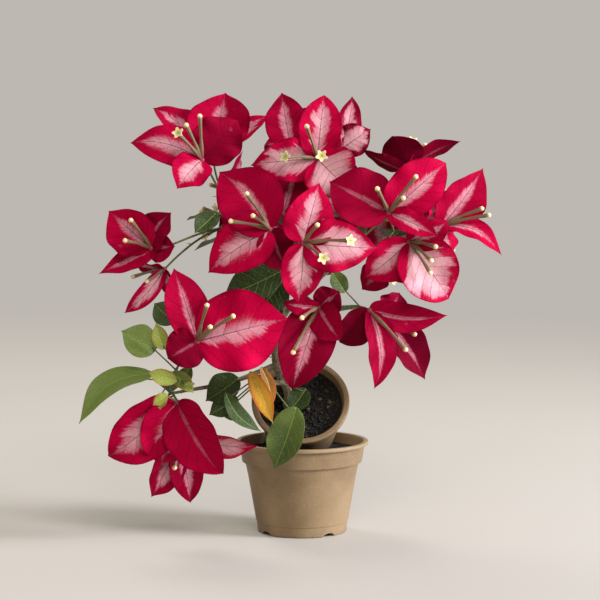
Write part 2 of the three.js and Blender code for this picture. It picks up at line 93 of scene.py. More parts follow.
def tint(code: str) -> Colour:
    """A linear colour from a display colour code.

    Args:
        code: six hexadecimal digits.

    Returns:
        Red, green, blue and alpha for a shader socket.
    """
    shares = [int(code[k : k + 2], 16) / 255 for k in (0, 2, 4)]
    red, green, blue = (s / 12.92 if s <= 0.04045 else ((s + 0.055) / 1.055) ** 2.4 for s in shares)
    return (red, green, blue, 1.0)


# ------------------------------------------------------------------ directions, curves, draws


def unit(vector: Array) -> Array:
    """The vector at length 1."""
    return vector / np.linalg.norm(vector)


def direction(turn: float, lift: float) -> Array:
    """The unit vector that faces a turn and a lift."""
    t, l = math.radians(turn), math.radians(lift)
    return np.array([math.sin(t) * math.cos(l), -math.cos(t) * math.cos(l), math.sin(l)])


def on_clock(axis: Array, clock: float) -> Array:
    """The direction of a clock angle round an axis."""
    up = unit(np.array(UPWARDS) - axis * axis[2])
    right = np.cross(up, axis)
    return up * math.cos(math.radians(clock)) + right * math.sin(math.radians(clock))


class Draws:
    """The same draws from 0 to 1 each time, by a linear congruential rule."""

    def __init__(self, seed: int) -> None:
        """Starts the rule at a seed."""
        self.state = seed

    def __call__(self) -> float:
        """The next draw."""
        self.state = (self.state * 1664525 + 1013904223) % 2**32
        return self.state / 2**32


class Route:
    """A smooth line through space, read by the share of its length."""

    SAMPLES = 400
    EASE = 0.4

    def __init__(self, points: Array) -> None:
        """Keeps closely set points along the line."""
        self.points = points
        steps = np.linalg.norm(np.diff(points, axis=0), axis=1)
        self.length = float(steps.sum())
        self.shares = np.concatenate([[0.0], np.cumsum(steps)]) / self.length

    def at(self, share: Union[float, Array]) -> Array:
        """The place, or one row per place, at a share of the length."""
        columns = [np.interp(share, self.shares, self.points[:, k]) for k in range(3)]
        return np.stack(columns, axis=-1)

    def way(self, share: float) -> Array:
        """The direction of travel at a share of the length."""
        step = 1 / self.SAMPLES
        low = min(max(share - step / 2, 0.0), 1 - step)
        return unit(self.at(low + step) - self.at(low))

    @classmethod
    def line(cls, start: Array, end: Array) -> "Route":
        """A straight route."""
        return cls(np.array([start, end]))

    @classmethod
    def bend(cls, start: Array, leaving: Array, end: Array, arriving: Array) -> "Route":
        """A route that leaves and arrives along the given directions.

        Args:
            start: where it starts.
            leaving: the direction there.
            end: where it ends.
            arriving: the direction there.

        Returns:
            A cubic curve whose handles reach a fixed share of the distance.
        """
        reach = np.linalg.norm(end - start) * cls.EASE
        after, before = start + leaving * reach, end - arriving * reach
        t = np.linspace(0, 1, cls.SAMPLES)[:, None]
        s = 1 - t
        return cls(s**3 * start + 3 * s**2 * t * after + 3 * s * t**2 * before + t**3 * end)

    @classmethod
    def through(cls, places: Sequence[Array]) -> "Route":
        """A centripetal Catmull-Rom route.

        Args:
            places: the points that it passes.

        Returns:
            The route, with its end tangents set by mirrored end points.
        """
        p = [np.asarray(place, float) for place in places]
        p = [2 * p[0] - p[1], *p, 2 * p[-1] - p[-2]]
        t = np.linspace(0, 1, cls.SAMPLES // (len(places) - 1))[:, None]
        runs = []
        for x0, x1, x2, x3 in zip(p, p[1:], p[2:], p[3:]):
            d0, d1, d2 = (math.sqrt(np.linalg.norm(b - a)) for a, b in ((x0, x1), (x1, x2), (x2, x3)))
            leave = ((x1 - x0) / d0 - (x2 - x0) / (d0 + d1) + (x2 - x1) / d1) * d1
            arrive = ((x2 - x1) / d1 - (x3 - x1) / (d1 + d2) + (x3 - x2) / d2) * d1
            square = -3 * x1 + 3 * x2 - 2 * leave - arrive
            cube = 2 * x1 - 2 * x2 + leave + arrive
            runs.append(x1 + leave * t + square * t**2 + cube * t**3)
        return cls(np.concatenate([runs[0]] + [run[1:] for run in runs[1:]]))


# ------------------------------------------------------------------ joined meshes


Blocks = List[Array]

LOWER_FACE = 2.0  # taken from the third dealt number on a blade's lower face


class Joined:
    """Many closed shells in one mesh, with two attributes of three numbers at each point."""

    def __init__(self) -> None:
        """Starts with no shells."""
        self.points: Blocks = []
        self.faces: Blocks = []
        self.finishes: Blocks = []
        self.surface: Blocks = []
        self.dealt: Blocks = []
        self.count = 0

    def add(self, shell: Tuple[Array, Blocks], finish: int = 0, surface: Optional[Array] = None,
            dealt: Sequence[float] = (0.0, 0.0, 0.0)) -> None:
        """Adds one closed shell, turned to face outwards.

        Args:
            shell: its points in millimetres and its blocks of faces, each block with one
                number of corners.
            finish: the number of its material on the piece.
            surface: three numbers a point that say where on the surface it is.
            dealt: three numbers for the whole shell that its colour depends on.
        """
        points, blocks = shell
        volume = 0.0
        for faces in blocks:
            corners = points[faces]
            for k in range(1, faces.shape[1] - 1):
                across = np.cross(corners[:, k], corners[:, k + 1])
                volume += float(np.einsum("ij,ij->i", corners[:, 0], across).sum())
        for faces in blocks:
            self.faces.append((faces if volume > 0 else faces[:, ::-1]) + self.count)
            self.finishes.append(np.full(len(faces), finish, np.int32))
        self.points.append(points)
        self.surface.append(np.zeros((len(points), 3)) if surface is None else surface)
        self.dealt.append(np.broadcast_to(np.asarray(dealt, float), (len(points), 3)))
        self.count += len(points)

    def piece(self, name: str, slot: Slot, materials: Sequence[bpy.types.Material]) -> bpy.types.Object:
        """Makes the object.

        Args:
            name: the piece's name.
            slot: the record's material slot for the piece; not used.
            materials: the materials that the shells' numbers point to.

        Returns:
            The smooth-shaded mesh object, riding on the plant.
        """
        mesh = bpy.data.meshes.new(name)
        faces = [row for block in self.faces for row in block.tolist()]
        mesh.from_pydata((np.concatenate(self.points) * MM).tolist(), [], faces)
        mesh.polygons.foreach_set("material_index", np.concatenate(self.finishes))
        mesh.shade_smooth()
        for key, rows in (("surface", self.surface), ("dealt", self.dealt)):
            attribute = mesh.attributes.new(key, "FLOAT_VECTOR", "POINT")
            attribute.data.foreach_set("vector", np.concatenate(rows).astype(np.float32).ravel())
        for material in materials:
            mesh.materials.append(material)
        obj = bpy.data.objects.new(name, mesh)
        bpy.context.scene.collection.objects.link(obj)
        return ridden(obj)


def ridden(obj: bpy.types.Object) -> bpy.types.Object:
    """Rides a finished piece on the plant and logs how many faces it has.

    Args:
        obj: the finished object.

    Returns:
        The same object.
    """
    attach(obj, "root")
    log.info("%s: %d faces", obj.name, len(obj.data.polygons))
    return obj


def grid_faces(rows: int, columns: int, closed: bool) -> Array:
    """Quads of a grid of points.

    Args:
        rows: points one way.
        columns: points the other way.
        closed: whether the last column joins the first.

    Returns:
        Rows of four point numbers.
    """
    runs = columns if closed else columns - 1
    i, j = (a.ravel() for a in np.meshgrid(np.arange(rows - 1), np.arange(runs), indexing="ij"))
    k = (j + 1) % columns
    return np.stack([i * columns + j, i * columns + k, (i + 1) * columns + k, (i + 1) * columns + j], 1)


def tube(route: Route, radii: Array, sides: int, relief: Optional[Relief] = None) -> Tuple[Array, Blocks]:
    """A closed tube round a route.

    Args:
        route: its centre line.
        radii: its radius at even shares of the length.
        sides: points round it.
        relief: how far the skin stands out, by share of the length and angles round.

    Returns:
        Its points, and its faces with both ends closed.
    """
    shares = np.linspace(0, 1, len(radii))
    centres = route.at(shares)
    ways = np.gradient(centres, axis=0)
    side = np.cross(ways[0], ASKEW)
    angles = np.linspace(0, 2 * math.pi, sides, endpoint=False)
    rows = []
    for share, radius, centre, way in zip(shares, radii, centres, ways):
        way = unit(way)
        side = unit(side - way * side.dot(way))
        out = radius + (relief(share, angles) if relief else 0.0)
        other = np.cross(way, side)
        rows.append(centre + np.outer(out * np.cos(angles), side) + np.outer(out * np.sin(angles), other))
    points = np.concatenate([*rows, centres[:1], centres[-1:]])
    low, high, top = len(points) - 2, len(points) - 1, (len(radii) - 1) * sides
    k = np.arange(sides)
    after = (k + 1) % sides
    caps = np.concatenate([
        np.stack([np.full(sides, low), after, k], 1),
        np.stack([np.full(sides, high), top + k, top + after], 1),
    ])
    return points, [grid_faces(len(radii), sides, True), caps]


def blade(places: Array, normals: Array, halves: Array) -> Tuple[Array, Blocks]:
    """A thin closed blade round a grid of middle points.

    Args:
        places: rows along it of points across it.
        normals: the way its upper face looks, at each point.
        halves: half its thickness at each point.

    Returns:
        Its points, upper face first, and its faces.
    """
    rows, columns, _ = places.shape
    lift = normals * halves[..., None]
    points = np.concatenate([(places + lift).reshape(-1, 3), (places - lift).reshape(-1, 3)])
    upper = grid_faces(rows, columns, False)
    number = np.arange(rows * columns).reshape(rows, columns)
    rim = np.concatenate([number[0], number[1:, -1], number[-1, -2::-1], number[-2:0:-1, 0]])
    after = np.roll(rim, -1)
    below = rows * columns
    edge = np.stack([rim, rim + below, after + below, after], 1)
    return points, [upper, upper[:, ::-1] + below, edge]


def surface_of(rows: int, columns: int, along: Array, across: Array, sideways: Array) -> Array:
    """Where each point of a blade is: along it, across it, and millimetres beside its midrib."""
    face = np.stack([np.broadcast_to(a, (rows, columns)) for a in (along, across, sideways)], -1)
    return np.tile(face.reshape(-1, 3), (2, 1))


# ------------------------------------------------------------------ shader maths


Socket = Union[float, Sequence[float], bpy.types.NodeSocket, "Number"]


class Number:
    """A number socket that takes part in Python arithmetic."""

    def __init__(self, shader: "Shader", socket: bpy.types.NodeSocket) -> None:
        """Wraps a socket of a shader's node."""
        self.shader = shader
        self.socket = socket

    def _maths(self, operation: str, *values: Socket) -> "Number":
        """A Math node on values, read as a number."""
        made = self.shader.node("ShaderNodeMath", {"operation": operation}, dict(enumerate(values)))
        return Number(self.shader, made.outputs[0])

    def __add__(self, other: Socket) -> "Number":
        """self + other."""
        return self._maths("ADD", self, other)

    __radd__ = __add__

    def __sub__(self, other: Socket) -> "Number":
        """self - other."""
        return self._maths("SUBTRACT", self, other)

    def __rsub__(self, other: Socket) -> "Number":
        """other - self."""
        return self._maths("SUBTRACT", other, self)

    def __mul__(self, other: Socket) -> "Number":
        """self * other."""
        return self._maths("MULTIPLY", self, other)

    __rmul__ = __mul__

    def __abs__(self) -> "Number":
        """The size of self."""
        return self._maths("ABSOLUTE", self)

    def floor(self) -> "Number":
        """The whole number below."""
        return self._maths("FLOOR", self)

    def part(self) -> "Number":
        """What is left over the whole number below."""
        return self._maths("FRACT", self)

    def over(self, edge: Socket) -> "Number":
        """1 where self is above the edge, else 0."""
        return self._maths("GREATER_THAN", self, edge)

    def rise(self, low: Socket, high: Socket) -> "Number":
        """0 below low, 1 above high, and smooth between."""
        inputs = {"Value": self, "From Min": low, "From Max": high}
        settings = {"interpolation_type": "SMOOTHSTEP"}
        return Number(self.shader, self.shader.node("ShaderNodeMapRange", settings, inputs).outputs[0])


class Shader:
    """The nodes of one material."""

    def __init__(self, name: str) -> None:
        """Starts a material with no nodes."""
        self.material = bpy.data.materials.new(name)
        self.material.use_nodes = True
        self.tree = self.material.node_tree
        self.tree.nodes.clear()
        self.objects = self.node("ShaderNodeTexCoord").outputs["Object"]

    def node(self, kind: str, settings: Optional[Dict[str, Any]] = None,
             inputs: Optional[Dict[Union[str, int], Socket]] = None) -> bpy.types.Node:
        """Adds a node.

        Args:
            kind: the node's type.
            settings: its properties.
            inputs: values or links for its sockets, by name or number.

        Returns:
            The node.
        """
        made = self.tree.nodes.new(kind)
        for key, value in (settings or {}).items():
            setattr(made, key, value)
        for key, value in (inputs or {}).items():
            value = value.socket if isinstance(value, Number) else value
            if isinstance(value, bpy.types.NodeSocket):
                self.tree.links.new(value, made.inputs[key])
            else:
                made.inputs[key].default_value = value
        return made

    def blend(self, factor: Socket, first: Socket, second: Socket) -> bpy.types.NodeSocket:
        """A colour between two.

        Args:
            factor: 0 for the first, 1 for the second.
            first: a colour.
            second: another colour.

        Returns:
            The blended colour's socket.
        """
        inputs = {0: factor, 6: first, 7: second}
        return self.node("ShaderNodeMix", {"data_type": "RGBA"}, inputs).outputs[2]

    def attribute(self, name: str) -> List[Number]:
        """The three numbers of a point attribute."""
        vector = self.node("ShaderNodeAttribute", {"attribute_name": name}).outputs["Vector"]
        return [Number(self, s) for s in self.node("ShaderNodeSeparateXYZ", None, {0: vector}).outputs]

    def vector(self, x: Socket, y: Socket, z: Socket) -> bpy.types.NodeSocket:
        """A vector from three numbers."""
        return self.node("ShaderNodeCombineXYZ", None, {0: x, 1: y, 2: z}).outputs[0]

    def noise(self, scale: float, detail: float = 2.0, where: Optional[Socket] = None) -> Number:
        """Soft noise from 0 to 1, by default over the object in metres."""
        inputs = {"Vector": where or self.objects, "Scale": scale, "Detail": detail}
        return Number(self, self.node("ShaderNodeTexNoise", None, inputs).outputs[0])

    def cells(self, scale: float) -> Number:
        """How far each point is from the edge of its cell."""
        inputs = {"Vector": self.objects, "Scale": scale}
        node = self.node("ShaderNodeTexVoronoi", {"feature": "DISTANCE_TO_EDGE"}, inputs)
        return Number(self, node.outputs["Distance"])

    def random(self, where: Socket) -> Number:
        """One random number for each whole place."""
        return Number(self, self.node("ShaderNodeTexWhiteNoise", None, {"Vector": where}).outputs[0])

    def finish(self, colour: Socket, rough: Socket, height: Optional[Number] = None, depth: float = 0.0,
               **constants: Any) -> bpy.types.Material:
        """Ends the material in one shader.

        Args:
            colour: its base colour.
            rough: its roughness.
            height: the relief, from 0 to 1.
            depth: what a height of 1 stands for, in millimetres.
            constants: other values of the shader's sockets, with _ for a space.

        Returns:
            The material.
        """
        inputs: Dict[Union[str, int], Socket] = {"Base Color": colour, "Roughness": rough}
        inputs.update({key.replace("_", " "): value for key, value in constants.items()})
        if height is not None:
            bump = {"Height": height, "Distance": depth * MM, "Strength": 1.0}
            inputs["Normal"] = self.node("ShaderNodeBump", None, bump).outputs[0]
        shader = self.node("ShaderNodeBsdfPrincipled", None, inputs)
        self.node("ShaderNodeOutputMaterial", None, {"Surface": shader.outputs[0]})
        return self.material


# ------------------------------------------------------------------ finishes


@dataclass(frozen=True)
class BractFinish:
    """Papery crimson with a pale patch that follows the side veins out from the midrib, darkened by a painted
    shade that each bract is dealt as its depth.
    """

    bright: str = "b20036"
    middle: str = "92002b"
    # deep crimson: used for the dark veins, the lower face and the edges, and as painted shade on bracts that
    # are dealt a depth
    deep: str = "5e001a"
    pale: str = "d2959e"
    core: str = "ddafb2"
    blush: str = "b64e6c"
    side_vein: str = "93506a"
    midrib: str = "481020"
    side_veins: float = 7.0
    vein_slant: float = 0.26

    def material(self) -> bpy.types.Material:
        """Builds the bract material from the blade's own coordinates."""
        s = Shader("bract_paper")
        along, across, sideways = s.attribute("surface")
        # depth is each bract's painted shade, from 0 to 1, less LOWER_FACE on its lower face
        pale_share, seed, depth = s.attribute("dealt")
        face = depth.over(-LOWER_FACE / 2)
        deep = depth + (1.0 - face) * LOWER_FACE
        beside = abs(across)
        start = along - beside * self.vein_slant
        wobble = s.noise(9.0, 1.0, s.vector(along, across, seed)) - 0.5
        row = start * self.side_veins + wobble * 0.35
        cell = row.floor()
        half = across.over(0.0)
        luck = s.random(s.vector(cell, half, seed))
        streaks = s.noise(1.0, 3.0, s.vector(start * 60.0, beside * 3.0, seed * 5.0 + half * 9.0)) - 0.5
        swell = start.rise(-0.06, 0.16) * (1.0 - start.rise(0.5, 0.94) * 0.92)
        reach = pale_share * swell * (0.6 + luck * 0.6) * 1.2
        patch = (reach - beside + streaks * 0.42 * pale_share.rise(0.0, 0.4)).rise(-0.05, 0.12)
        patch = patch * pale_share.rise(0.01, 0.06)
        line = abs(row.part() - 0.5).rise(0.44, 0.5)
        net = 1.0 - s.cells(330.0).rise(0.0, 0.09)
        rib = 1.0 - abs(sideways).rise(0.12, 0.75 - along * 0.5)
        shade = s.noise(26.0, 2.0)
        fine = s.noise(170.0, 3.0)
        # painted shade: a bract's dealt depth pulls its red from bright towards middle and then deep crimson
        red = s.blend((shade + 0.3 - deep * 0.6).rise(0.25, 0.75), tint(self.middle), tint(self.bright))
        red = s.blend((deep * 1.3 - 0.25 + (shade - 0.5) * 0.8).rise(0.0, 1.0), red, tint(self.deep))
        red = s.blend((line * 0.28 + net * 0.12) * (1.0 - patch), red, tint(self.deep))
        red = s.blend(fine.rise(0.7, 0.76) * 0.3, red, tint(self.blush))
        white = s.blend(fine * 0.5 + (1.0 - reach) * 0.22 + net * 0.3, tint(self.pale), tint(self.blush))
        white = s.blend((reach - beside).rise(0.1, 0.45) * 0.6, white, tint(self.core))
        white = s.blend(line * 0.65, white, tint(self.side_vein))
        colour = s.blend(patch, red, white)
        colour = s.blend((1.0 - face) * 0.4, colour, tint(self.deep))
        colour = s.blend(beside.rise(0.88, 1.0) * 0.45, colour, tint(self.deep))
        colour = s.blend(rib * (0.75 - along * 0.45), colour, tint(self.midrib))
        height = rib * -0.6 - line * 0.5 - net * 0.22 + fine * 0.15
        return s.finish(colour, 0.6 + fine * 0.16, height, 0.35, Specular_IOR_Level=0.03)


@dataclass(frozen=True)
class LeafFinish:
    """A soft green leaf with paler side veins."""

    name: str
    light: str
    dark: str
    vein: str
    edge: str
    edge_share: float = 0.0
    side_veins: float = 7.0
    vein_slant: float = 0.24

    def material(self) -> bpy.types.Material:
        """Builds the leaf material from the blade's own coordinates."""
        s = Shader(self.name)
        along, across, sideways = s.attribute("surface")
        lightness, seed, _ = s.attribute("dealt")
        beside = abs(across)
        wobble = s.noise(6.0, 1.0, s.vector(along, across, seed)) * 0.3
        row = (along - beside * self.vein_slant) * self.side_veins + wobble
        line = abs(row.part() - 0.5).rise(0.44, 0.5)
        rib = 1.0 - abs(sideways).rise(0.1, 0.8 - along * 0.5)
        net = 1.0 - s.cells(420.0).rise(0.0, 0.1)
        fine = s.noise(120.0, 3.0)
        lit = (s.noise(34.0, 2.0) * 0.8 + lightness - 0.3).rise(0.1, 0.8)
        colour = s.blend(lit, tint(self.dark), tint(self.light))
        colour = s.blend(net * 0.16 + line * 0.4, colour, tint(self.vein))
        colour = s.blend(rib * 0.7, colour, tint(self.vein))
        colour = s.blend((beside + fine * 0.3).rise(0.75, 1.1) * self.edge_share, colour, tint(self.edge))
        height = rib * -0.7 - line * 0.6 - net * 0.25 + fine * 0.1
        return s.finish(colour, 0.42 + fine * 0.2, height, 0.35, Specular_IOR_Level=0.4)


@dataclass(frozen=True)
class BarkFinish:
    """Grey-brown bark with a green tinge on young wood and dark furrows."""

    name: str
    light: str
    dark: str
    young: str
    young_share: float
    worn: str = "c9b79a"

    def material(self) -> bpy.types.Material:
        """Builds the bark material."""
        s = Shader(self.name)
        fine = s.noise(900.0, 4.0)
        streak = s.noise(1.0, 4.0, s.node("ShaderNodeMapping", None, {
            "Vector": s.objects, "Scale": (900.0, 900.0, 140.0)}).outputs[0])
        colour = s.blend(streak.rise(0.3, 0.7), tint(self.dark), tint(self.light))
        colour = s.blend(s.noise(60.0, 2.0).rise(0.35, 0.65) * self.young_share, colour, tint(self.young))
        colour = s.blend(fine.rise(0.62, 0.75) * 0.5, colour, tint(self.worn))
        return s.finish(colour, 0.72 + fine * 0.2, streak * 0.7 + fine * 0.3, 0.4)


@dataclass(frozen=True)
class PotFinish:
    """Matte recycled plastic with a fine mineral grain, worn and lighter at its lip: wear together with a
    painted highlight.
    """

    name: str
    light: str
    dark: str
    fleck: str
    # the lip's lighter colour: partly wear, partly a painted highlight
    rim: str
    lip_wear_and_highlight_share: float
    dark_fleck: str = "5d4c38"
    pale_fleck: str = "d9cdb6"
    dusty_foot: str = "8d7a60"
    lip_wear_and_highlight_over: float = 3.0
    foot_height: float = 12.0

    def material(self, lip_wear_and_highlight_from: float) -> bpy.types.Material:
        """Builds the pot material.

        Args:
            lip_wear_and_highlight_from: the height in millimetres from which the lip's wear and painted
                highlight show.

        Returns:
            The material.
        """
        s = Shader(self.name)
        cloud = s.noise(28.0, 3.0)
        grain = s.noise(1500.0, 4.0)
        flecks = s.noise(900.0, 1.0).rise(0.66, 0.72)
        pale = s.noise(760.0, 1.0, s.node("ShaderNodeMapping", None, {
            "Vector": s.objects, "Location": (3.0, 7.0, 1.0)}).outputs[0]).rise(0.68, 0.74)
        dust = s.noise(90.0, 4.0).rise(0.5, 0.8)
        colour = s.blend(cloud.rise(0.35, 0.65), tint(self.dark), tint(self.light))
        colour = s.blend(grain.rise(0.45, 0.75) * 0.3, colour, tint(self.fleck))
        colour = s.blend(flecks * 0.4, colour, tint(self.dark_fleck))
        colour = s.blend(pale * 0.16, colour, tint(self.pale_fleck))
        height_here = Number(s, s.node("ShaderNodeSeparateXYZ", None, {0: s.objects}).outputs[2])
        # wear and painted highlight: the lip is painted lighter towards its top
        worn = height_here.rise(lip_wear_and_highlight_from * MM, (lip_wear_and_highlight_from + self.lip_wear_and_highlight_over) * MM) * self.lip_wear_and_highlight_share
        colour = s.blend(worn * (0.4 + dust * 0.6), colour, tint(self.rim))
        foot = (1.0 - height_here.rise(0.0, self.foot_height * MM)) * 0.35 * dust
        colour = s.blend(foot, colour, tint(self.dusty_foot))
        relief = grain * 0.5 + cloud * 0.2 - flecks * 0.3
        return s.finish(colour, 0.52 + grain * 0.2, relief, 0.3, Specular_IOR_Level=0.45)


@dataclass(frozen=True)
class SoilFinish:
    """Moist dark potting soil."""

    name: str
    light: str
    dark: str
    speck: str = "8a7250"

    def material(self) -> bpy.types.Material:
        """Builds the soil material."""
        s = Shader(self.name)
        lumps = s.cells(420.0)
        fine = s.noise(1400.0, 5.0)
        coarse = s.noise(160.0, 3.0)
        colour = s.blend((fine * 0.6 + coarse * 0.4).rise(0.35, 0.68), tint(self.dark), tint(self.light))
        colour = s.blend(fine.rise(0.68, 0.74) * 0.5, colour, tint(self.speck))
        return s.finish(colour, 0.8 + fine * 0.2, lumps.rise(0.0, 0.35) * 0.6 + fine * 0.5, 1.4)


@dataclass(frozen=True)
class TubeFinish:
    """The ribbed tube of a floret, green-brown towards its mouth and rosy at its foot."""

    name: str
    light: str
    dark: str
    foot: str
    ribs: float = 5.0

    def material(self) -> bpy.types.Material:
        """Builds the tube material from its share along the floret."""
        s = Shader(self.name)
        along, around, _ = s.attribute("surface")
        fine = s.noise(700.0, 3.0)
        ribs = abs((around * self.ribs).part() - 0.5) * 2.0
        colour = s.blend(ribs * 0.6 + fine * 0.5, tint(self.dark), tint(self.light))
        colour = s.blend(1.0 - along.rise(0.0, 0.3), colour, tint(self.foot))
        return s.finish(colour, 0.55 + fine * 0.2, ribs * 0.6 + fine * 0.4, 0.25)


@dataclass(frozen=True)
class FlowerFinish:
    """The small cream corolla, green-yellow towards its middle."""

    name: str
    edge: str
    middle: str

    def material(self) -> bpy.types.Material:
        """Builds the corolla material from its share out from the middle."""
        s = Shader(self.name)
        out, _, _ = s.attribute("surface")
        fine = s.noise(900.0, 2.0)
        colour = s.blend((out + fine * 0.25 - 0.12).rise(0.15, 0.75), tint(self.middle), tint(self.edge))
        return s.finish(colour, 0.5 + fine * 0.2, fine, 0.15, Sheen_Weight=0.2)


class Palette:
    """Every material of the plant, made once."""

    def __init__(self) -> None:
        """Builds the materials."""
        self.bract = BractFinish().material()
        self.leaf = LeafFinish("leaf_green", "667a30", "283e10", "8ca04e", "546a28").material()
        self.young = LeafFinish("leaf_young", "9aa944", "5d7726", "c0c878", "a4602c", 0.5).material()
        self.yellow = LeafFinish("leaf_yellow", "d09a14", "94600a", "e0c87c", "c2621a", 0.8).material()
        self.bark = BarkFinish("bark_grey", "8d7c66", "4a3c2c", "6f7146", 0.25).material()
        self.twig = BarkFinish("bark_young", "6d6a44", "3d3622", "5f7034", 0.7).material()
        self.thorn = BarkFinish("thorn", "a08a5e", "6a4a30", "7d7c40", 0.4).material()
        self.tube = TubeFinish("floret_tube", "8d7a55", "57422f", "8c3c46").material()
        self.bud = FlowerFinish("floret_bud", "ecd6a4", "a89a62").material()
        self.star = FlowerFinish("floret_star", "dcd4a4", "aeb048").material()
        # each pot's last colour and share are its lighter lip: wear and a painted highlight
        self.pot = PotFinish("pot_clay_plastic", "8f7858", "7c6648", "a18964", "ab9570", 0.5)
        self.inner_pot = PotFinish("pot_worn_plastic", "6e5a3c", "5e4a30", "786444", "8e7450", 0.85)
        self.soil = SoilFinish("soil_dark", "18140a", "060502").material()
        self.soil_brown = SoilFinish("soil_crumb", "463823", "1c150c").material()
        self.grit = SoilFinish("soil_grit", "7c6c50", "483a28").material()


# ------------------------------------------------------------------ modelling by operators


def nothing_selected() -> None:
    """Deselects everything, so that operators act on new things only."""
    if bpy.context.object and bpy.context.object.mode != "OBJECT":
        bpy.ops.object.mode_set(mode="OBJECT")
    bpy.ops.object.select_all(action="DESELECT")


def turned(name: str, rings: Sequence[Tuple[float, float]], sides: int) -> bpy.types.Object:
    """A round body extruded ring by ring from a disc.

    Args:
        name: the object's name.
        rings: radius and height of each ring, from the disc under it.
        sides: points round it.

    Returns:
        The closed object, in object mode.
    """
    nothing_selected()
    radius, height = rings[0]
    bpy.ops.mesh.primitive_circle_add(
        vertices=sides, radius=radius * MM, fill_type="NGON", location=(0, 0, height * MM))
    obj = bpy.context.object
    obj.name = obj.data.name = name
    bpy.ops.object.transform_apply(location=True, rotation=True, scale=True)
    bpy.ops.object.mode_set(mode="EDIT")
    bpy.ops.mesh.select_mode(type="FACE")
    bpy.ops.mesh.select_all(action="SELECT")
    for wide, level in rings[1:]:
        rise = {"value": (0.0, 0.0, (level - height) * MM)}
        bpy.ops.mesh.extrude_region_move(TRANSFORM_OT_translate=rise)
        share = wide / radius
        bpy.ops.transform.resize(value=(share, share, 1.0), center_override=(0.0, 0.0, level * MM))
        radius, height = wide, level
    bpy.ops.mesh.select_all(action="SELECT")
    bpy.ops.mesh.normals_make_consistent(inside=False)
    bpy.ops.object.mode_set(mode="OBJECT")
    return obj


def applied(obj: bpy.types.Object, kind: str, **settings: Any) -> None:
    """Adds a modifier and applies it.

    Args:
        obj: the object, which becomes the only selected one.
        kind: the modifier's type.
        settings: its properties.
    """
    nothing_selected()
    obj.select_set(True)
    bpy.context.view_layer.objects.active = obj
    modifier = obj.modifiers.new(kind.lower(), kind)
    for key, value in settings.items():
        setattr(modifier, key, value)
    bpy.ops.object.modifier_apply(modifier=modifier.name)


def smoothed(obj: bpy.types.Object, angle: float) -> None:
    """Shades an object smooth, but sharp across edges over an angle in degrees."""
    nothing_selected()
    obj.select_set(True)
    bpy.context.view_layer.objects.active = obj
    bpy.ops.object.shade_smooth_by_angle(angle=math.radians(angle))


def cut_away(obj: bpy.types.Object, tool: bpy.types.Object) -> None:
    """Cuts a tool's shape out of an object, and removes the tool."""
    applied(obj, "BOOLEAN", operation="DIFFERENCE", solver="EXACT", object=tool)
    mesh = tool.data
    bpy.data.objects.remove(tool)
    bpy.data.meshes.remove(mesh)


# ------------------------------------------------------------------ pots and soil


@dataclass
class Pot:
    """A round nursery pot with a rolled lip, in its own frame with its underside at 0."""

    name: str
    node: str
    slot: Slot
    foot: float
    neck: float
    height: float
    lip_height: float
    lip: float
    mouth: float
    wall: float = 1.8
    floor: float = 2.5
    soil_level: float = 61.0
    collar: Optional[Tuple[float, float, float]] = None
    band: Optional[Tuple[float, float]] = None
    sides: int = 128
    rounding: float = 0.8
    rounded_over: float = 35.0
    sharp_over: float = 40.0

    def outside(self) -> List[Tuple[float, float]]:
        """The rings of the outside, from the underside's edge to the lip's top."""
        rings = [(self.foot, 0.0)]
        under_lip = self.height - self.lip_height
        if self.band and self.collar:
            collar_foot = self.height - self.collar[0]
            level, step = self.band
            at_band = self.foot + (self.neck - self.foot) * level / collar_foot
            rings += [(at_band - step, level), (at_band, level + step)]
            rings += [(self.neck, collar_foot), (self.collar[1], collar_foot), (self.collar[2], under_lip)]
        else:
            rings += [(self.neck, under_lip)]
        return [*rings, (self.lip, under_lip), (self.lip, self.height)]

    def inside_radius(self, level: float) -> float:
        """The radius of the inside at a height."""
        bottom = self.foot - self.wall
        return bottom + (self.mouth - bottom) * level / self.height

    def shell(self) -> bpy.types.Object:
        """The whole pot, with softened edges."""
        inner = [(self.mouth, self.height), (self.inside_radius(self.floor), self.floor)]
        obj = turned(self.name, [*self.outside(), *inner], self.sides)
        applied(obj, "BEVEL", width=self.rounding * MM, segments=3, limit_method="ANGLE",
                angle_limit=math.radians(self.rounded_over))
        return obj

    def envelope(self) -> bpy.types.Object:
        """The pot's outside filled to its lip, for cutting its room in the soil round it."""
        return turned("envelope", self.outside(), self.sides)

    def dress(self, obj: bpy.types.Object, finish: PotFinish, place: Matrix) -> bpy.types.Object:
        """Finishes the pot's mesh and puts it in its place.

        Args:
            obj: the pot in its own frame.
            finish: its finish.
            place: the transform to its place.

        Returns:
            The piece, in place of its CAD node.
        """
        smoothed(obj, self.sharp_over)
        obj.data.transform(place)
        obj.data.materials.append(finish.material(self.height - self.lip_height - 1.0))
        ridden(obj)
        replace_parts(obj, self.node)
        return obj


@dataclass
class DrainNotches:
    """Half-round notches under the edge of the standing pot's foot."""

    count: int = 4
    radius: float = 5.2
    height: float = 2.4
    depth: float = 8.0
    first_turn: float = 37.0
    sides: int = 32

    def cut(self, obj: bpy.types.Object, foot: float) -> None:
        """Cuts the notches out of a pot with this foot radius."""
        for k in range(self.count):
            turn = math.radians(self.first_turn + 360 / self.count * k)
            nothing_selected()
            bpy.ops.mesh.primitive_cylinder_add(
                vertices=self.sides, radius=self.radius * MM, depth=2 * self.depth * MM,
                location=(math.sin(turn) * foot * MM, -math.cos(turn) * foot * MM, 0.0),
                rotation=(math.pi / 2, 0.0, turn))
            tool = bpy.context.object
            tool.scale = (1.0, self.height / self.radius, 1.0)
            bpy.ops.object.transform_apply(location=True, rotation=True, scale=True)
            cut_away(obj, tool)


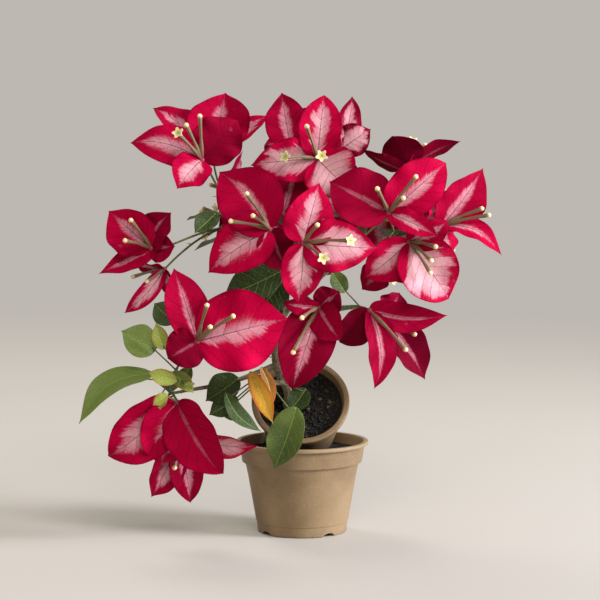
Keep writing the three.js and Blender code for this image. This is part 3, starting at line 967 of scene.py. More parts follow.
@dataclass
class Soil:
    """The soil in a pot: a plug with a lumpy top, and loose crumbs on it."""

    name: str
    node: str
    pot: Pot
    seed: int
    crumbs: int
    gap: float = 0.3
    sides: int = 160
    rings: int = 34
    swell: float = 2.6
    lump_sizes: Tuple[Tuple[float, float], ...] = ((16.0, 1.0), (4.5, 0.55))
    sharp_over: float = 60.0
    crumb: Tuple[float, float] = (0.5, 1.5)
    sunk: Tuple[float, float] = (-0.6, 0.4)
    brown_over: float = 0.6
    grit_over: float = 0.93

    def plug(self, place: Matrix, room: Optional[bpy.types.Object]) -> bpy.types.Object:
        """The soil's body.

        Args:
            place: the transform from the pot's frame.
            room: a shape to cut out of it, in its place, or None.

        Returns:
            The soil without its material.
        """
        pot = self.pot
        level = pot.soil_level
        edge = pot.inside_radius(level) - self.gap
        low = pot.floor + self.gap
        steps = [(edge * (1 - k / self.rings), level) for k in range(1, self.rings)]
        obj = turned(self.name, [(pot.inside_radius(low) - self.gap, low), (edge, level), *steps], self.sides)
        group = obj.vertex_groups.new(name="top")
        inner = [v.index for v in obj.data.vertices
                 if v.co.z > (level - 0.1) * MM and v.co.xy.length < (edge - 0.5) * MM]
        group.add(inner, 1.0, "REPLACE")
        for size, share in self.lump_sizes:
            lumps = bpy.data.textures.new(f"{self.name}_lumps", "CLOUDS")
            lumps.noise_scale = size * MM
            applied(obj, "DISPLACE", texture=lumps, strength=self.swell * share * MM, direction="Z",
                    mid_level=0.6, vertex_group="top", texture_coords="LOCAL")
        obj.data.transform(place)
        if room:
            cut_away(obj, room)
        return obj

    def scattered(self, place: Matrix, clear: Callable[[Vector], bool]) -> Joined:
        """Loose crumbs, bark bits and grit on the soil.

        Args:
            place: the transform from the pot's frame.
            clear: whether a crumb may lie at a place.

        Returns:
            The crumbs as closed shells.
        """
        draw = random.Random(self.seed)
        joined = Joined()
        edge = self.pot.inside_radius(self.pot.soil_level) - self.gap
        for _ in range(self.crumbs):
            size = self.crumb[0] + self.crumb[1] * draw.random() ** 2
            reach = (edge - size) * math.sqrt(draw.random())
            turn = draw.uniform(0, 2 * math.pi)
            sink = draw.uniform(*self.sunk) * size
            spot = place @ Vector((reach * math.cos(turn) * MM, reach * math.sin(turn) * MM,
                                   (self.pot.soil_level + sink) * MM))
            points, faces = lump(draw, size)
            luck = draw.random()
            if clear(spot):
                finish = 2 if luck > self.grit_over else int(luck > self.brown_over)
                joined.add((points + np.array(spot) / MM, [faces]), finish)
        return joined


LUMP_STRETCH = (0.6, 1.4)
LUMP_BUMPS = (0.75, 1.2)


def lump(draw: random.Random, size: float) -> Tuple[Array, Array]:
    """A rough lump of twenty faces.

    Args:
        draw: where its roughness comes from.
        size: its mean radius.

    Returns:
        Its points round the origin, and its faces.
    """
    golden = (1 + math.sqrt(5)) / 2
    base = np.array([(a, b * golden, 0.0) for a in (-1, 1) for b in (-1, 1)])
    points = unit_rows(np.concatenate([np.roll(base, k, axis=1) for k in range(3)]))
    gap = np.linalg.norm(points[:, None] - points[None], axis=-1)
    near = (gap > 0) & (gap < 1.2)  # an edge of the unit icosahedron is 1.05 long
    faces = [(a, b, c) for a, b, c in combinations(range(len(points)), 3)
             if near[a, b] and near[b, c] and near[a, c]]
    outward = [(a, b, c) if np.dot(np.cross(points[b] - points[a], points[c] - points[a]), points[a]) > 0
               else (a, c, b) for a, b, c in faces]
    stretch = np.array([draw.uniform(*LUMP_STRETCH) for _ in range(3)])
    bumps = np.array([draw.uniform(*LUMP_BUMPS) for _ in points])[:, None]
    return points * bumps * stretch * size, np.array(outward)


def unit_rows(rows: Array) -> Array:
    """Each row at length 1."""
    return rows / np.linalg.norm(rows, axis=-1, keepdims=True)


@dataclass
class Pots:
    """The standing pot, the leaning pot in it, and the soil in both."""

    tilt: float = 52.0
    mouth: Place = (-1.2, -8.0, 100.0)
    standing: Pot = field(default_factory=lambda: Pot(
        "standing_pot", "outer_pot", Slot.POT, foot=33.6, neck=42.8, height=68.7, lip_height=2.7,
        lip=50.0, mouth=46.6, collar=(15.7, 45.4, 47.2), band=(7.2, 0.5), rounding=0.7))
    leaning: Pot = field(default_factory=lambda: Pot(
        "leaning_pot", "inner_pot", Slot.INNER_POT, foot=25.0, neck=34.4, height=54.0, lip_height=3.4,
        lip=36.9, mouth=32.6, floor=2.2, soil_level=47.5))
    notches: DrainNotches = field(default_factory=DrainNotches)

    def lean(self) -> Matrix:
        """The leaning pot's transform, in metres."""
        turn = Matrix.Rotation(math.radians(self.tilt), 4, "X")
        foot = Vector(self.mouth) * MM - turn @ Vector((0.0, 0.0, self.leaning.height * MM))
        return Matrix.Translation(foot) @ turn

    def leaned(self, place: Place) -> Array:
        """A place of the leaning pot's frame, in millimetres of the whole frame."""
        return np.array(self.lean() @ (Vector(place) * MM)) / MM

    def build(self, palette: Palette) -> None:
        """Builds the pots and soils."""
        level = Matrix.Identity(4)
        lean = self.lean()
        standing = self.standing.shell()
        self.notches.cut(standing, self.standing.foot)
        self.standing.dress(standing, palette.pot, level)
        self.leaning.dress(self.leaning.shell(), palette.inner_pot, lean)
        room = self.leaning.envelope()
        room.data.transform(lean)
        back = lean.inverted()
        reach = self.leaning.lip + 1.0

        def beside_leaning(spot: Vector) -> bool:
            """Whether a spot is clear of the leaning pot."""
            own = back @ spot / MM
            return own.xy.length > reach or own.z < 0

        soils = (
            (Soil("standing_soil", "outer_soil", self.standing, 5, 700), level, room, beside_leaning),
            (Soil("leaning_soil", "inner_soil", self.leaning, 9, 460), lean, None, lambda spot: True),
        )
        for soil, place, cut, clear in soils:
            body = soil.plug(place, cut)
            smoothed(body, soil.sharp_over)
            body.data.materials.append(palette.soil)
            ridden(body)
            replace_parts(body, soil.node)
            loose = soil.scattered(place, clear)
            loose.piece(f"{soil.name}_crumbs", Slot.SOIL, [palette.soil, palette.soil_brown, palette.grit])


# ------------------------------------------------------------------ flower heads


@dataclass(frozen=True)
class Bract:
    """One bract: clock, length, width, opening, curl, pale share, depth of painted shade, keenness and bow.
    """

    clock: float
    long: float
    wide: float
    opens: float = 70.0
    curls: float = 30.0
    pale: float = 0.35
    # how far the bract is painted in shade, from 0 to 1
    deep: float = 0.3
    keen: float = 0.0
    bow: float = 0.0


class FloretPart(Enum):
    """Which material of a floret a shell takes."""

    TUBE = 0
    BUD = 1
    STAR = 2


@dataclass(frozen=True)
class Floret:
    """One floret: its clock, length, lean from the head's axis, and whether it is in flower."""

    clock: float
    long: float
    leans: float
    star: bool = False


@dataclass(frozen=True)
class Head:
    """A head of bracts round florets, at a place and facing a turn and a lift."""

    at: Place
    turn: float
    lift: float
    bracts: Tuple[Bract, ...]
    florets: Tuple[Floret, ...] = ()

    @property
    def axis(self) -> Array:
        """The way that the head faces."""
        return direction(self.turn, self.lift)

    @property
    def place(self) -> Array:
        """The head's middle."""
        return np.array(self.at, float)


@dataclass(frozen=True)
class BractForm:
    """How every bract is shaped."""

    root: Tuple[float, float] = (0.45, 0.32)
    tip: Tuple[float, float] = (0.5, 0.85)
    drawn: float = 6.0
    fold: float = 13.0
    thick: float = 0.42
    edge: float = 0.14
    rows: int = 30
    columns: int = 21
    wave: float = 0.1
    quilt: float = 0.14
    twist: float = 0.3
    sway: float = 0.05
    tip_from: float = 0.68
    tip_curl: Tuple[float, float] = (-15.0, 50.0)
    inset: float = 0.004
    crowding: float = 0.9
    fold_range: Tuple[float, float] = (0.8, 1.6)
    crease: float = 0.8
    wave_counts: Tuple[float, ...] = (2.2, 3.9, 6.1)
    wave_edge: float = 2.2
    side_veins: float = 7.0
    vein_slant: float = 0.26

    def half(self, along: Array, keen: float) -> Array:
        """Half the width from root to tip, as a share of its most.

        Args:
            along: shares of the length.
            keen: 0 for a full outline, 1 for one that narrows straight to its tip.

        Returns:
            The shares of the most width.
        """
        root = self.root[0] + (self.root[1] - self.root[0]) * keen
        tip = self.tip[0] + (self.tip[1] - self.tip[0]) * keen

        def outline(a: Array) -> Array:
            """The shape of half the outline."""
            return a**root * (1 - a) ** tip * (1 - a**self.drawn)

        return outline(along) / outline(np.linspace(0, 1, 101)).max()

    @staticmethod
    def wave_at_edges(along: Array, cross: Array, count: float, draw: random.Random) -> Array:
        """A wave along both edges.

        Args:
            along: shares of the length.
            cross: -1 to 1 across.
            count: half waves on the length.
            draw: where its strength and its starts come from.

        Returns:
            Its height at each point of the grid.
        """
        strength = draw.uniform(0.5, 1.0)
        phase = draw.uniform(*ANY_PHASE)
        apart = draw.uniform(1, 5)
        return strength * np.sin(along * count * math.pi + phase + (cross > 0) * apart)

    def shell(self, head: Head, bract: Bract, draw: random.Random) -> Tuple[Tuple[Array, Blocks], Array]:
        """The closed blade of a bract.

        Args:
            head: the head that it belongs to.
            bract: its own sizes.
            draw: where its small waves come from.

        Returns:
            Its shell and where each point of it lies.
        """
        axis = head.axis
        out = on_clock(axis, bract.clock)
        across = np.cross(axis, out)
        start, bent = math.radians(bract.opens), math.radians(bract.curls)
        fold = math.radians(self.fold) * draw.uniform(*self.fold_range)
        crowded = (0.5 - 0.5 * np.cos(math.pi * np.linspace(0, 1, self.rows))) ** self.crowding
        along = (self.inset + (1 - 2 * self.inset) * crowded)[:, None]
        cross = np.sin(np.linspace(-1, 1, self.columns) * math.pi / 2)[None]
        half = bract.wide / 2 * self.half(along, bract.keen)
        side = cross * half
        late = np.clip((along - self.tip_from) / (1 - self.tip_from), 0, 1) ** 2
        angle = start + bent * along + math.radians(draw.uniform(*self.tip_curl)) * late
        twist, sway = draw.uniform(-1, 1) * self.twist, draw.uniform(-1, 1) * self.sway
        fold_up = (np.sqrt(side**2 + self.crease**2) - self.crease) * math.sin(fold)
        waves = sum(self.wave_at_edges(along, cross, count, draw) for count in self.wave_counts)
        ripple = waves * self.wave * half * np.abs(cross) ** self.wave_edge
        quilt = quilted(along, cross, self.vein_slant, self.side_veins, self.quilt)
        raised = fold_up + ripple + quilt + side * twist * along
        normal = axis * np.sin(angle)[..., None] - out * np.cos(angle)[..., None]
        ahead = axis * np.cos(angle) + out * np.sin(angle)
        steps = (ahead[1:] + ahead[:-1]) / 2 * np.diff(along, axis=0) * bract.long
        rib = head.place + np.concatenate([np.zeros((1, 3)), np.cumsum(steps, axis=0)])
        beside = side * math.cos(fold) + (sway * along**2 + bract.bow * np.sin(math.pi * along)) * bract.long
        places = rib[:, None] + across * beside[..., None] + normal * raised[..., None]
        normals = grid_normals(places, normal)
        halves = (self.edge + (self.thick - self.edge) * (1 - np.abs(cross) ** 3) * (1 - along**2)) / 2
        halves = np.broadcast_to(halves, places.shape[:2])
        surface = surface_of(self.rows, self.columns, along, cross, side)
        return blade(places, normals, halves), surface


def quilted(along: Array, cross: Array, slant: float, veins: float, depth: float) -> Array:
    """How a blade's face swells between its side veins.

    Args:
        along: shares of its length.
        cross: -1 to 1 across it.
        slant: how far a side vein runs on towards the tip, as a share of the length.
        veins: how many side veins the length has.
        depth: how far the face swells, in millimetres.

    Returns:
        The swelling at each point of the grid.
    """
    beside = np.abs(cross)
    return np.sin((along - beside * slant) * veins * 2 * math.pi) * depth * np.sin(beside * math.pi)


def grid_normals(places: Array, towards: Array) -> Array:
    """The unit normals of a grid of points.

    Args:
        places: rows of points.
        towards: roughly which way they look.

    Returns:
        A normal at each point.
    """
    normals = np.cross(np.gradient(places, axis=0), np.gradient(places, axis=1))
    lengths = np.linalg.norm(normals, axis=-1, keepdims=True)
    normals = np.where(lengths > 1e-9, normals / np.maximum(lengths, 1e-9), towards)
    flip = np.sign((normals * towards).sum(-1, keepdims=True))
    return normals * np.where(flip == 0, 1, flip)


CAP_MIDDLES = ((0.0, 0.0, 0.0), (1.0, 0.0, 0.0))  # on the surface of a tube, at its foot and mouth


@dataclass(frozen=True)
class FloretForm:
    """How every floret is shaped."""

    sides: int = 15
    rings: int = 26
    profile: Tuple[Tuple[float, float], ...] = (
        (0.0, 0.7), (0.1, 1.15), (0.24, 1.5), (0.38, 1.35), (0.5, 0.95), (0.62, 0.95), (0.8, 1.2),
        (0.94, 1.5), (1.0, 1.35))
    parts: int = 5
    rib_height: float = 0.1
    sag: float = 0.03
    bud_radius: float = 1.75
    bud_long: float = 3.4
    bud_sunk: float = 0.5
    bud_sides: int = 20
    bud_rings: int = 10
    bud_folds: float = 0.22
    star_radius: float = 4.9
    star_notch: float = 0.42
    star_sides: int = 60
    star_rings: int = 9
    star_throat: float = 0.06
    star_half: float = 0.16
    star_to_front: float = 0.9
    star_spins: Tuple[float, float] = (0.0, 6.0)

    def tube(self, head: Head, floret: Floret) -> Tuple[Tuple[Array, Blocks], Array]:
        """The floret's tube.

        Args:
            head: its head.
            floret: its own sizes.

        Returns:
            Its shell, and its share along and around at each point.
        """
        start, way = head.place, self.way(head, floret)
        sag = np.cross(way, np.cross(way, UPWARDS)) * -floret.long * self.sag
        middle = start + way * floret.long / 2 + sag
        route = Route.through([start, middle, start + way * floret.long])
        shares, radii = zip(*self.profile)
        steps = np.linspace(0, 1, self.rings)

        def ribs(share: float, angles: Array) -> Array:
            """One rib for each part of the flower."""
            return self.rib_height * np.cos(self.parts * angles)

        shell = tube(route, np.interp(steps, shares, radii), self.sides, ribs)
        rows = np.repeat(steps, self.sides)
        turns = np.tile(np.arange(self.sides) / self.sides, self.rings)
        surface = np.stack([rows, turns, rows * 0], 1)
        return shell, np.concatenate([surface, CAP_MIDDLES])

    def way(self, head: Head, floret: Floret) -> Array:
        """The way that a floret points."""
        lean = math.radians(floret.leans)
        return head.axis * math.cos(lean) + on_clock(head.axis, floret.clock) * math.sin(lean)

    def bud(self, head: Head, floret: Floret) -> Tuple[Tuple[Array, Blocks], Array]:
        """The furled cream bud on a floret that is not in flower."""
        way = self.way(head, floret)
        mouth = head.place + way * (floret.long - self.bud_sunk)
        route = Route.line(mouth, mouth + way * self.bud_long)
        steps = np.linspace(0, 1, self.bud_rings)
        radii = self.bud_radius * np.sqrt(np.clip(1 - (steps * 1.7 - 0.72) ** 2, 0.02, 1))

        def furled(share: float, angles: Array) -> Array:
            """One fold for each part of the flower, deepest in the middle of the bud."""
            return self.bud_folds * np.cos(self.parts * angles) * math.sin(math.pi * min(share + 0.1, 1))

        shell = tube(route, radii, self.bud_sides, furled)
        rows = np.repeat(steps, self.bud_sides)
        surface = np.stack([rows, rows * 0, rows * 0], 1)
        return shell, np.concatenate([surface, CAP_MIDDLES])

    def star(self, head: Head, floret: Floret, spin: float) -> Tuple[Tuple[Array, Blocks], Array]:
        """The open five-lobed corolla of a floret in flower."""
        way = self.way(head, floret)
        facing = unit(way + direction(0, 10) * self.star_to_front)
        side = unit(np.cross(facing, [0.2, 0.1, 1.0]))
        other = np.cross(facing, side)
        mouth = head.place + way * (floret.long + 0.2) + facing * 0.4
        sides, rings = self.star_sides, self.star_rings
        angles = np.linspace(0, 2 * math.pi, sides, endpoint=False)
        out = np.linspace(self.star_throat, 1, rings)[:, None]
        lobe = np.sin(self.parts / 2 * (angles - spin))
        lobes = 1 - self.star_notch * np.abs(lobe) ** 1.3 - 0.1 * np.exp(-(lobe / 0.12) ** 2)
        reach = self.star_radius * out * lobes[None] ** (out**1.5)
        cup = 1.3 * out**2 - 0.5 * out**4 + 0.35 * np.cos(self.parts * (angles - spin))[None] * out**2
        places = mouth + side * (reach * np.cos(angles))[..., None]
        places = places + other * (reach * np.sin(angles))[..., None] + facing * cup[..., None]
        closed = np.concatenate([places, places[:, :1]], axis=1)
        normals = grid_normals(closed, np.broadcast_to(facing, closed.shape))[:, :-1]
        thin = normals * self.star_half
        points = np.concatenate([(places + thin).reshape(-1, 3), (places - thin).reshape(-1, 3)])
        upper = grid_faces(rings, sides, True)
        below = rings * sides
        k = np.arange(sides)
        after = (k + 1) % sides
        outer = (rings - 1) * sides
        rims = np.concatenate([
            np.stack([k, k + below, after + below, after], 1),
            np.stack([outer + after, outer + after + below, outer + k + below, outer + k], 1),
        ])
        outward = np.broadcast_to(out, (rings, sides)).ravel()
        surface = np.tile(np.stack([outward, outward * 0, outward * 0], 1), (2, 1))
        return (points, [upper[:, ::-1], upper + below, rims[:, ::-1]]), surface


BRACT_FORM = BractForm()
FLORET_FORM = FloretForm()


# ------------------------------------------------------------------ leaves


class LeafKind(Enum):
    """Which leaf material a leaf takes."""

    GREEN = 0
    YOUNG = 1
    YELLOW = 2


@dataclass(frozen=True)
class Leaf:
    """A leaf from its stalk to its tip, with its width, the way it faces and its kind."""

    start: Place
    end: Place
    wide: float
    turn: float
    lift: float
    kind: LeafKind = LeafKind.GREEN
    lightness: float = 0.5
    sway: float = 0.03


@dataclass(frozen=True)
class LeafForm:
    """How every leaf is shaped."""

    root: float = 0.58
    tip: float = 0.62
    drawn: float = 7.0
    fold: float = 0.14
    droop: float = 0.1
    thick: float = 0.4
    edge: float = 0.16
    rows: int = 20
    columns: int = 13
    held: float = 0.12
    inset: float = 0.003
    wave: float = 0.03
    quilt: float = 0.1
    side_veins: float = 7.0
    vein_slant: float = 0.24

    def outline(self, along: Array) -> Array:
        """The shape of half its outline, from stalk to drawn-out tip."""
        return along**self.root * (1 - along) ** self.tip * (1 - along**self.drawn)

    def half(self, along: Array) -> Array:
        """Half the width from stalk to tip, as a share of its most."""
        return self.outline(along) / self.outline(np.linspace(0, 1, 101)).max()

    def shell(self, leaf: Leaf, draw: random.Random) -> Tuple[Tuple[Array, Blocks], Array]:
        """The closed blade of a leaf.

        Args:
            leaf: its own sizes.
            draw: where its small waves come from.

        Returns:
            Its shell and where each point of it lies.
        """
        start, end = np.array(leaf.start, float), np.array(leaf.end, float)
        ahead, long = unit(end - start), float(np.linalg.norm(end - start))
        normal = direction(leaf.turn, leaf.lift)
        normal = unit(normal - ahead * normal.dot(ahead))
        across = np.cross(normal, ahead)
        along = np.linspace(self.inset, 1 - self.inset, self.rows)[:, None]
        cross = np.sin(np.linspace(-1, 1, self.columns) * math.pi / 2)[None]
        side = cross * self.half(along) * leaf.wide / 2
        phase = draw.uniform(*ANY_PHASE)
        waves = np.sin(along * 9 + phase + (cross > 0) * 2.1) + 0.6 * np.sin(along * 16 + phase * 2)
        raised = (np.abs(side) / (leaf.wide / 2) * leaf.wide * self.fold - along**2 * long * self.droop
                  + waves * self.wave * leaf.wide * np.abs(cross) ** 2)
        raised = raised + quilted(along, cross, self.vein_slant, self.side_veins, self.quilt)
        beside = side + np.sin(along * math.pi) * leaf.sway * long
        places = (start + ahead * (along * long)[..., None] + across * beside[..., None]
                  + normal * np.broadcast_to(raised, side.shape)[..., None])
        normals = grid_normals(places, np.broadcast_to(normal, places.shape))
        thick = self.edge + (self.thick - self.edge) * (1 - np.abs(cross) ** 3)
        halves = np.broadcast_to(thick / 2, side.shape)
        return blade(places, normals, halves), surface_of(self.rows, self.columns, along, cross, side)


LEAF_FORM = LeafForm()


# ------------------------------------------------------------------ masses


@dataclass(frozen=True)
class Mass:
    """A mass of foliage that grows from a bough's tip."""

    name: str
    stem: float
    spray: int
    seed: int
    heads: Tuple[Head, ...] = ()
    leaves: Tuple[Leaf, ...] = ()


def head(at: Place, turn: float, lift: float, bracts: Sequence[Sequence[float]],
         florets: Sequence[Sequence[float]] = ()) -> Head:
    """A head from plain rows of its bracts' and florets' numbers."""
    return Head(at, turn, lift, tuple(Bract(*row) for row in bracts), tuple(Floret(*row) for row in florets))


# What a head that faces the sides or the back carries: three florets and an even pale patch.
UNSEEN = ((60, 27, 24), (180, 25, 30, True), (300, 28, 28))

OPENS, CURLS = 70, 30

# In each bract row the seventh number is its depth of painted shade.
MASSES = (
    Mass("low_left", 14, 2, 3, (
        head((-75, -88, 153), 8, 10,
             ((77, 68, 60, 69, 25, 0.26, 0.12),
              (343, 56, 32, 74, CURLS, 0.2, 0.4),
              (239, 26, 32, 65, 40, 0.05, 0.7)),
             ((13, 32, 48), (56, 37, 48), (40, 29, 21))),
        head((-91, -62, 106), -5, -20,
             ((197, 50, 44, 56, CURLS, 0.34, 0.25),
              (146, 66, 42, 46, 35, 0.05, 0.4),
              (233, 68, 43, 60, 25, 0.4, 0.3))),
        head((-90, -44, 77), 15, -25,
             ((84, 60, 26, 51, CURLS, 0.7, 0.2),
              (208, 50, 27, 57, CURLS, 0.4, 0.5),
              (169, 52, 26, 52, CURLS, 0.3, 0.5)),
             ((206, 23, 38),)),
    ), (
        Leaf((-108, -62, 127), (-163, -74, 95), 22, -12, 40, LeafKind.GREEN, 0.8, -0.19),
        Leaf((-106, -60, 144), (-130, -66, 159), 25, -10, 30, LeafKind.GREEN, 0.9),
        Leaf((-92, -52, 163), (-109, -44, 177), 18, -20, 20, LeafKind.GREEN, 0.1),
        Leaf((-100, -66, 145), (-105, -70, 164), 12, 10, 10, LeafKind.YOUNG, 0.5),
        Leaf((-95, -72, 129), (-78, -80, 116), 12, 0, 30, LeafKind.YOUNG, 0.4),
        Leaf((-103, -66, 112), (-103, -70, 102), 11, -10, 10, LeafKind.YOUNG, 0.4),
        Leaf((-90, -84, 124), (-110, -84, 131), 12, 0, 20, LeafKind.YOUNG, 0.8),
        Leaf((-89, -66, 118), (-80, -66, 133), 11, 0, 10, LeafKind.GREEN, 0.3),
        Leaf((-96, -88, 115), (-107, -90, 108), 9, -10, 30, LeafKind.YOUNG, 0.9),
        Leaf((-85, -80, 120), (-77, -80, 122), 5, 0, 40, LeafKind.YOUNG, 0.9),
    )),
    Mass("front_low", 6, 0, 5, (
        head((12, -72, 176), -8, -10,
             ((198, 67, 42, 63, CURLS, 0.26, 0.6, 0.5),
              (138, 32, 27, 37, 50, 0.1, 0.5),
              (285, 29, 14, 49, CURLS, 0.2, 0.4),
              (52, 20, 24, 75, CURLS, 0.1, 0.7)),
             ((267, 27, 18), (211, 39, 50))),
    ), (
        Leaf((-14, -50, 201), (-58, -56, 184), 30, -10, 25, LeafKind.GREEN, -0.1),
        Leaf((-14, -46, 194), (-32, -50, 172), 26, 0, 10, LeafKind.GREEN, -0.2),
    )),
    Mass("upper_left", 10, 2, 7, (
        head((-23, -72, 232), -12, 8,
             ((320, 57, 48, 67, 35, 0.16, 0.4, 0.0, -0.08),
              (234, 57, 40, 74, CURLS, 0.42, 0.1, 0.5, -0.03),
              (159, 33, 29, 85, 40, 0.06, 0.7)),
             ((332, 34, 49), (318, 27, 21), (279, 32, 46))),
        head((-73, -40, 281), -8, 13,
             ((40, 41, 38, 79, CURLS, 0.0, 0.6),
              (286, 58, 31, 73, CURLS, 0.34, 0.1, 0.4, -0.07),
              (212, 35, 30, 37, 40, 0.4, 0.25)),
             ((317, 30, 43, True), (338, 30, 48), (2, 34, 53))),
        head((-66, -6, 286), 5, 35,
             ((11, 48, 50, 57, CURLS, 0.22, 0.35),
              (307, 60, 28, 68, CURLS, 0.35, 0.4),
              (54, 52, 19, 66, CURLS, 0.5, 0.3))),
        head((-110, -45, 217), -30, 10,
             ((315, 42, 36, 47, CURLS, 0.24, 0.3),
              (33, 33, 28, 64, CURLS, 0.1, 0.6, 0.0, 0.08),
              (88, 22, 24, 70, CURLS, 0.1, 0.55),
              (237, 44, 21, 82, -30, 0.22, 0.3, 0.7)),
             ((342, 27, 41), (287, 23, 21))),
        head((-102, -26, 200), -40, -35,
             ((239, 46, 15, 6, 50, 0.5, 0.3, 0.0, 0.05),
              (163, 29, 20, 67, CURLS, 0.45, 0.5),
              (305, 29, 15, 58, CURLS, 0.3, 0.5)),
             ((298, 23, 39), (293, 16, 14))),
        head((-50, 4, 234), -92, 5, ((5, 40, 34), (125, 42, 34, OPENS, CURLS, 0.5), (240, 38, 32)), UNSEEN),
    ), (Leaf((-63, -37, 242), (-78, -52, 230), 17, -10, 30, LeafKind.GREEN, -0.1),)),
    Mass("upper", 12, 2, 11, (
        head((1, -100, 224), 5, 0,
             ((13, 47, 37, 84, CURLS, 0.4, 0.3, 0.9),
              (96, 55, 38, 76, CURLS, 0.58, 0.35, 0.6),
              (182, 45, 32, 85, CURLS, 0.5, 0.25, 0.3)),
             ((27, 29, 32), (85, 36, 58, True), (128, 29, 29, True))),
        head((-14, -38, 242), 0, 25,
             ((18, 35, 32, 67, 25, 0.15, 0.6),
              (301, 31, 26, 84, 25, 0.1, 0.7),
              (111, 35, 26, 105, 25, 0.1, 0.7))),
        head((11, -45, 282), 0, 10,
             ((266, 51, 33, 80, CURLS, 0.6, 0.15, 0.7),
              (139, 34, 42, 65, CURLS, 0.75, 0.1),
              (5, 50, 32, 74, CURLS, 0.42, 0.25)),
             ((268, 27, 58, True), (133, 30, 7, True), (339, 30, 44))),
        head((-8, -6, 289), -10, 25,
             ((346, 43, 32, 54, CURLS, 0.25, 0.45),
              (26, 36, 26, 82, CURLS, 0.2, 0.5, 0.5),
              (215, 26, 26, 94, CURLS, 0.2, 0.6))),
        head((30, -8, 289), 20, 25,
             ((64, 26, 27, 48, 25, 0.7, 0.7, 0.4),
              (15, 42, 21, 55, CURLS, 0.45, 0.6, 0.6),
              (215, 25, 22, 119, CURLS, 0.3, 0.4))),
    )),
    Mass("upper_right", 10, 2, 13, (
        head((62, -72, 244), 5, 15,
             ((299, 50, 45, 82, 35, 0.07, 0.5),
              (51, 58, 39, 72, 25, 0.25, 0.3),
              (122, 41, 18, 58, CURLS, 0.3, 0.3)),
             ((322, 25, 40), (39, 35, 48), (55, 26, 19))),
        head((77, -62, 223), 12, -12,
             ((226, 43, 33, 81, CURLS, 0.4, 0.3),
              (142, 54, 46, 62, 25, 0.74, 0.25),
              (57, 35, 23, 48, 40, 0.3, 0.4)),
             ((84, 24, 35), (126, 26, 30), (147, 29, 44))),
        head((78, -14, 273), 180, 45,
             ((28, 29, 35, 38, CURLS, 0.0, 0.8),
              (68, 38, 15, 97, -40, 0.1, 0.6),
              (295, 46, 15, 54, 40, 0.1, 0.5)),
             ((327, 25, 18, True), (292, 24, 36))),
        head((102, -30, 232), 45, 15,
             ((31, 54, 38, 42, 20, 0.22, 0.4, 0.5),
              (136, 52, 17, 23, 60, 0.3, 0.2, 0.0, 0.1),
              (155, 36, 27, 98, CURLS, 0.3, 0.3)),
             ((89, 36, 27), (69, 32, 33))),
        head((88, 0, 222), 88, 5, ((350, 38, 32), (115, 40, 34, OPENS, CURLS, 0.5), (235, 40, 32)), UNSEEN),
    ), (Leaf((61, -40, 221), (54, -44, 201), 15, 10, 10, LeafKind.GREEN, 0.3),)),
    Mass("right", 8, 1, 17, (
        head((49, -52, 172), 25, 5,
             ((175, 60, 24, 72, 35, 0.2, 0.5, 0.0, 0.06),
              (94, 58, 23, 73, -20, 0.12, 0.45, 0.5, -0.08),
              (218, 35, 30, 98, 35, 0.0, 0.8)),
             ((149, 39, 58),)),
        head((61, -22, 164), 35, -5,
             ((155, 56, 32, 55, 20, 0.12, 0.8, 0.0, 0.03),
              (34, 22, 33, 74, 20, 0.1, 0.6),
              (353, 15, 18, 126, CURLS, 0.1, 0.6)),
             ((150, 32, 15),)),
    ), (Leaf((32, -36, 184), (22, -42, 201), 13, 10, 10, LeafKind.GREEN, 0.3),)),
    Mass("foot", 8, 0, 19, (), (
        Leaf((-38, -58, 128), (-22, -67, 91), 14, -15, 20, LeafKind.YELLOW, 0.7),
        Leaf((-46, -50, 122), (-71, -56, 107), 24, -10, 30, LeafKind.GREEN, -0.1),
        Leaf((-47, -54, 108), (-68, -60, 97), 17, 0, 30, LeafKind.GREEN, 0.0),
        Leaf((-56, -60, 113), (-29, -69, 87), 13, 5, 40, LeafKind.GREEN, -0.1, -0.14),
        Leaf((-4, -60, 102), (-22, -66, 58), 28, -20, 15, LeafKind.GREEN, 0.35),
        Leaf((3, -42, 113), (-10, -52, 98), 17, 0, 35, LeafKind.GREEN, -0.2),
        Leaf((-30, -57, 131), (-22, -65, 102), 9, 10, 20, LeafKind.YELLOW, 0.1, 0.08),
        Leaf((-59, -50, 97), (-42, -50, 93), 11, -10, 30, LeafKind.GREEN, -0.3),
    )),
    Mass("back_left", 10, 4, 23, (
        head((-44, 46, 250), -110, 10,
             ((20, 40, 34), (150, 42, 32, OPENS, CURLS, 0.5), (250, 46, 34)), UNSEEN),
        head((-28, 80, 226), -150, 0,
             ((350, 46, 34), (110, 50, 36), (235, 48, 34, OPENS, CURLS, 0.55)), UNSEEN),
    )),
    Mass("back_right", 10, 4, 29, (
        head((54, 74, 228), 155, 5, ((10, 38, 34, OPENS, CURLS, 0.5), (130, 46, 34), (255, 50, 34)), UNSEEN),
        head((84, 44, 244), 105, 10, ((0, 43, 34), (125, 46, 32), (240, 48, 34, OPENS, CURLS, 0.6)), UNSEEN),
        head((61, 47, 203), 140, -15,
             ((20, 44, 34), (150, 30, 28, OPENS, CURLS, 0.2), (262, 42, 30)), UNSEEN),
    )),
    Mass("back", 10, 4, 53, (
        head((-6, 48, 286), -165, 40,
             ((345, 46, 36), (78, 26, 30), (225, 48, 34, OPENS, CURLS, 0.6)), UNSEEN),
        head((24, 56, 268), 165, 35, ((5, 46, 34), (125, 44, 36, OPENS, CURLS, 0.6), (283, 22, 28)), UNSEEN),
        head((12, 92, 248), 180, 15,
             ((355, 50, 38, OPENS, CURLS, 0.55), (122, 46, 32), (240, 50, 36)), UNSEEN),
        head((8, 70, 210), 178, -20, ((0, 44, 32), (120, 46, 32, OPENS, CURLS, 0.2), (240, 30, 30)), UNSEEN),
    )),
)


# ------------------------------------------------------------------ limbs


THORN = 1  # the second material of every limb and twig
THORN_RADII = (0.55, 0.06)


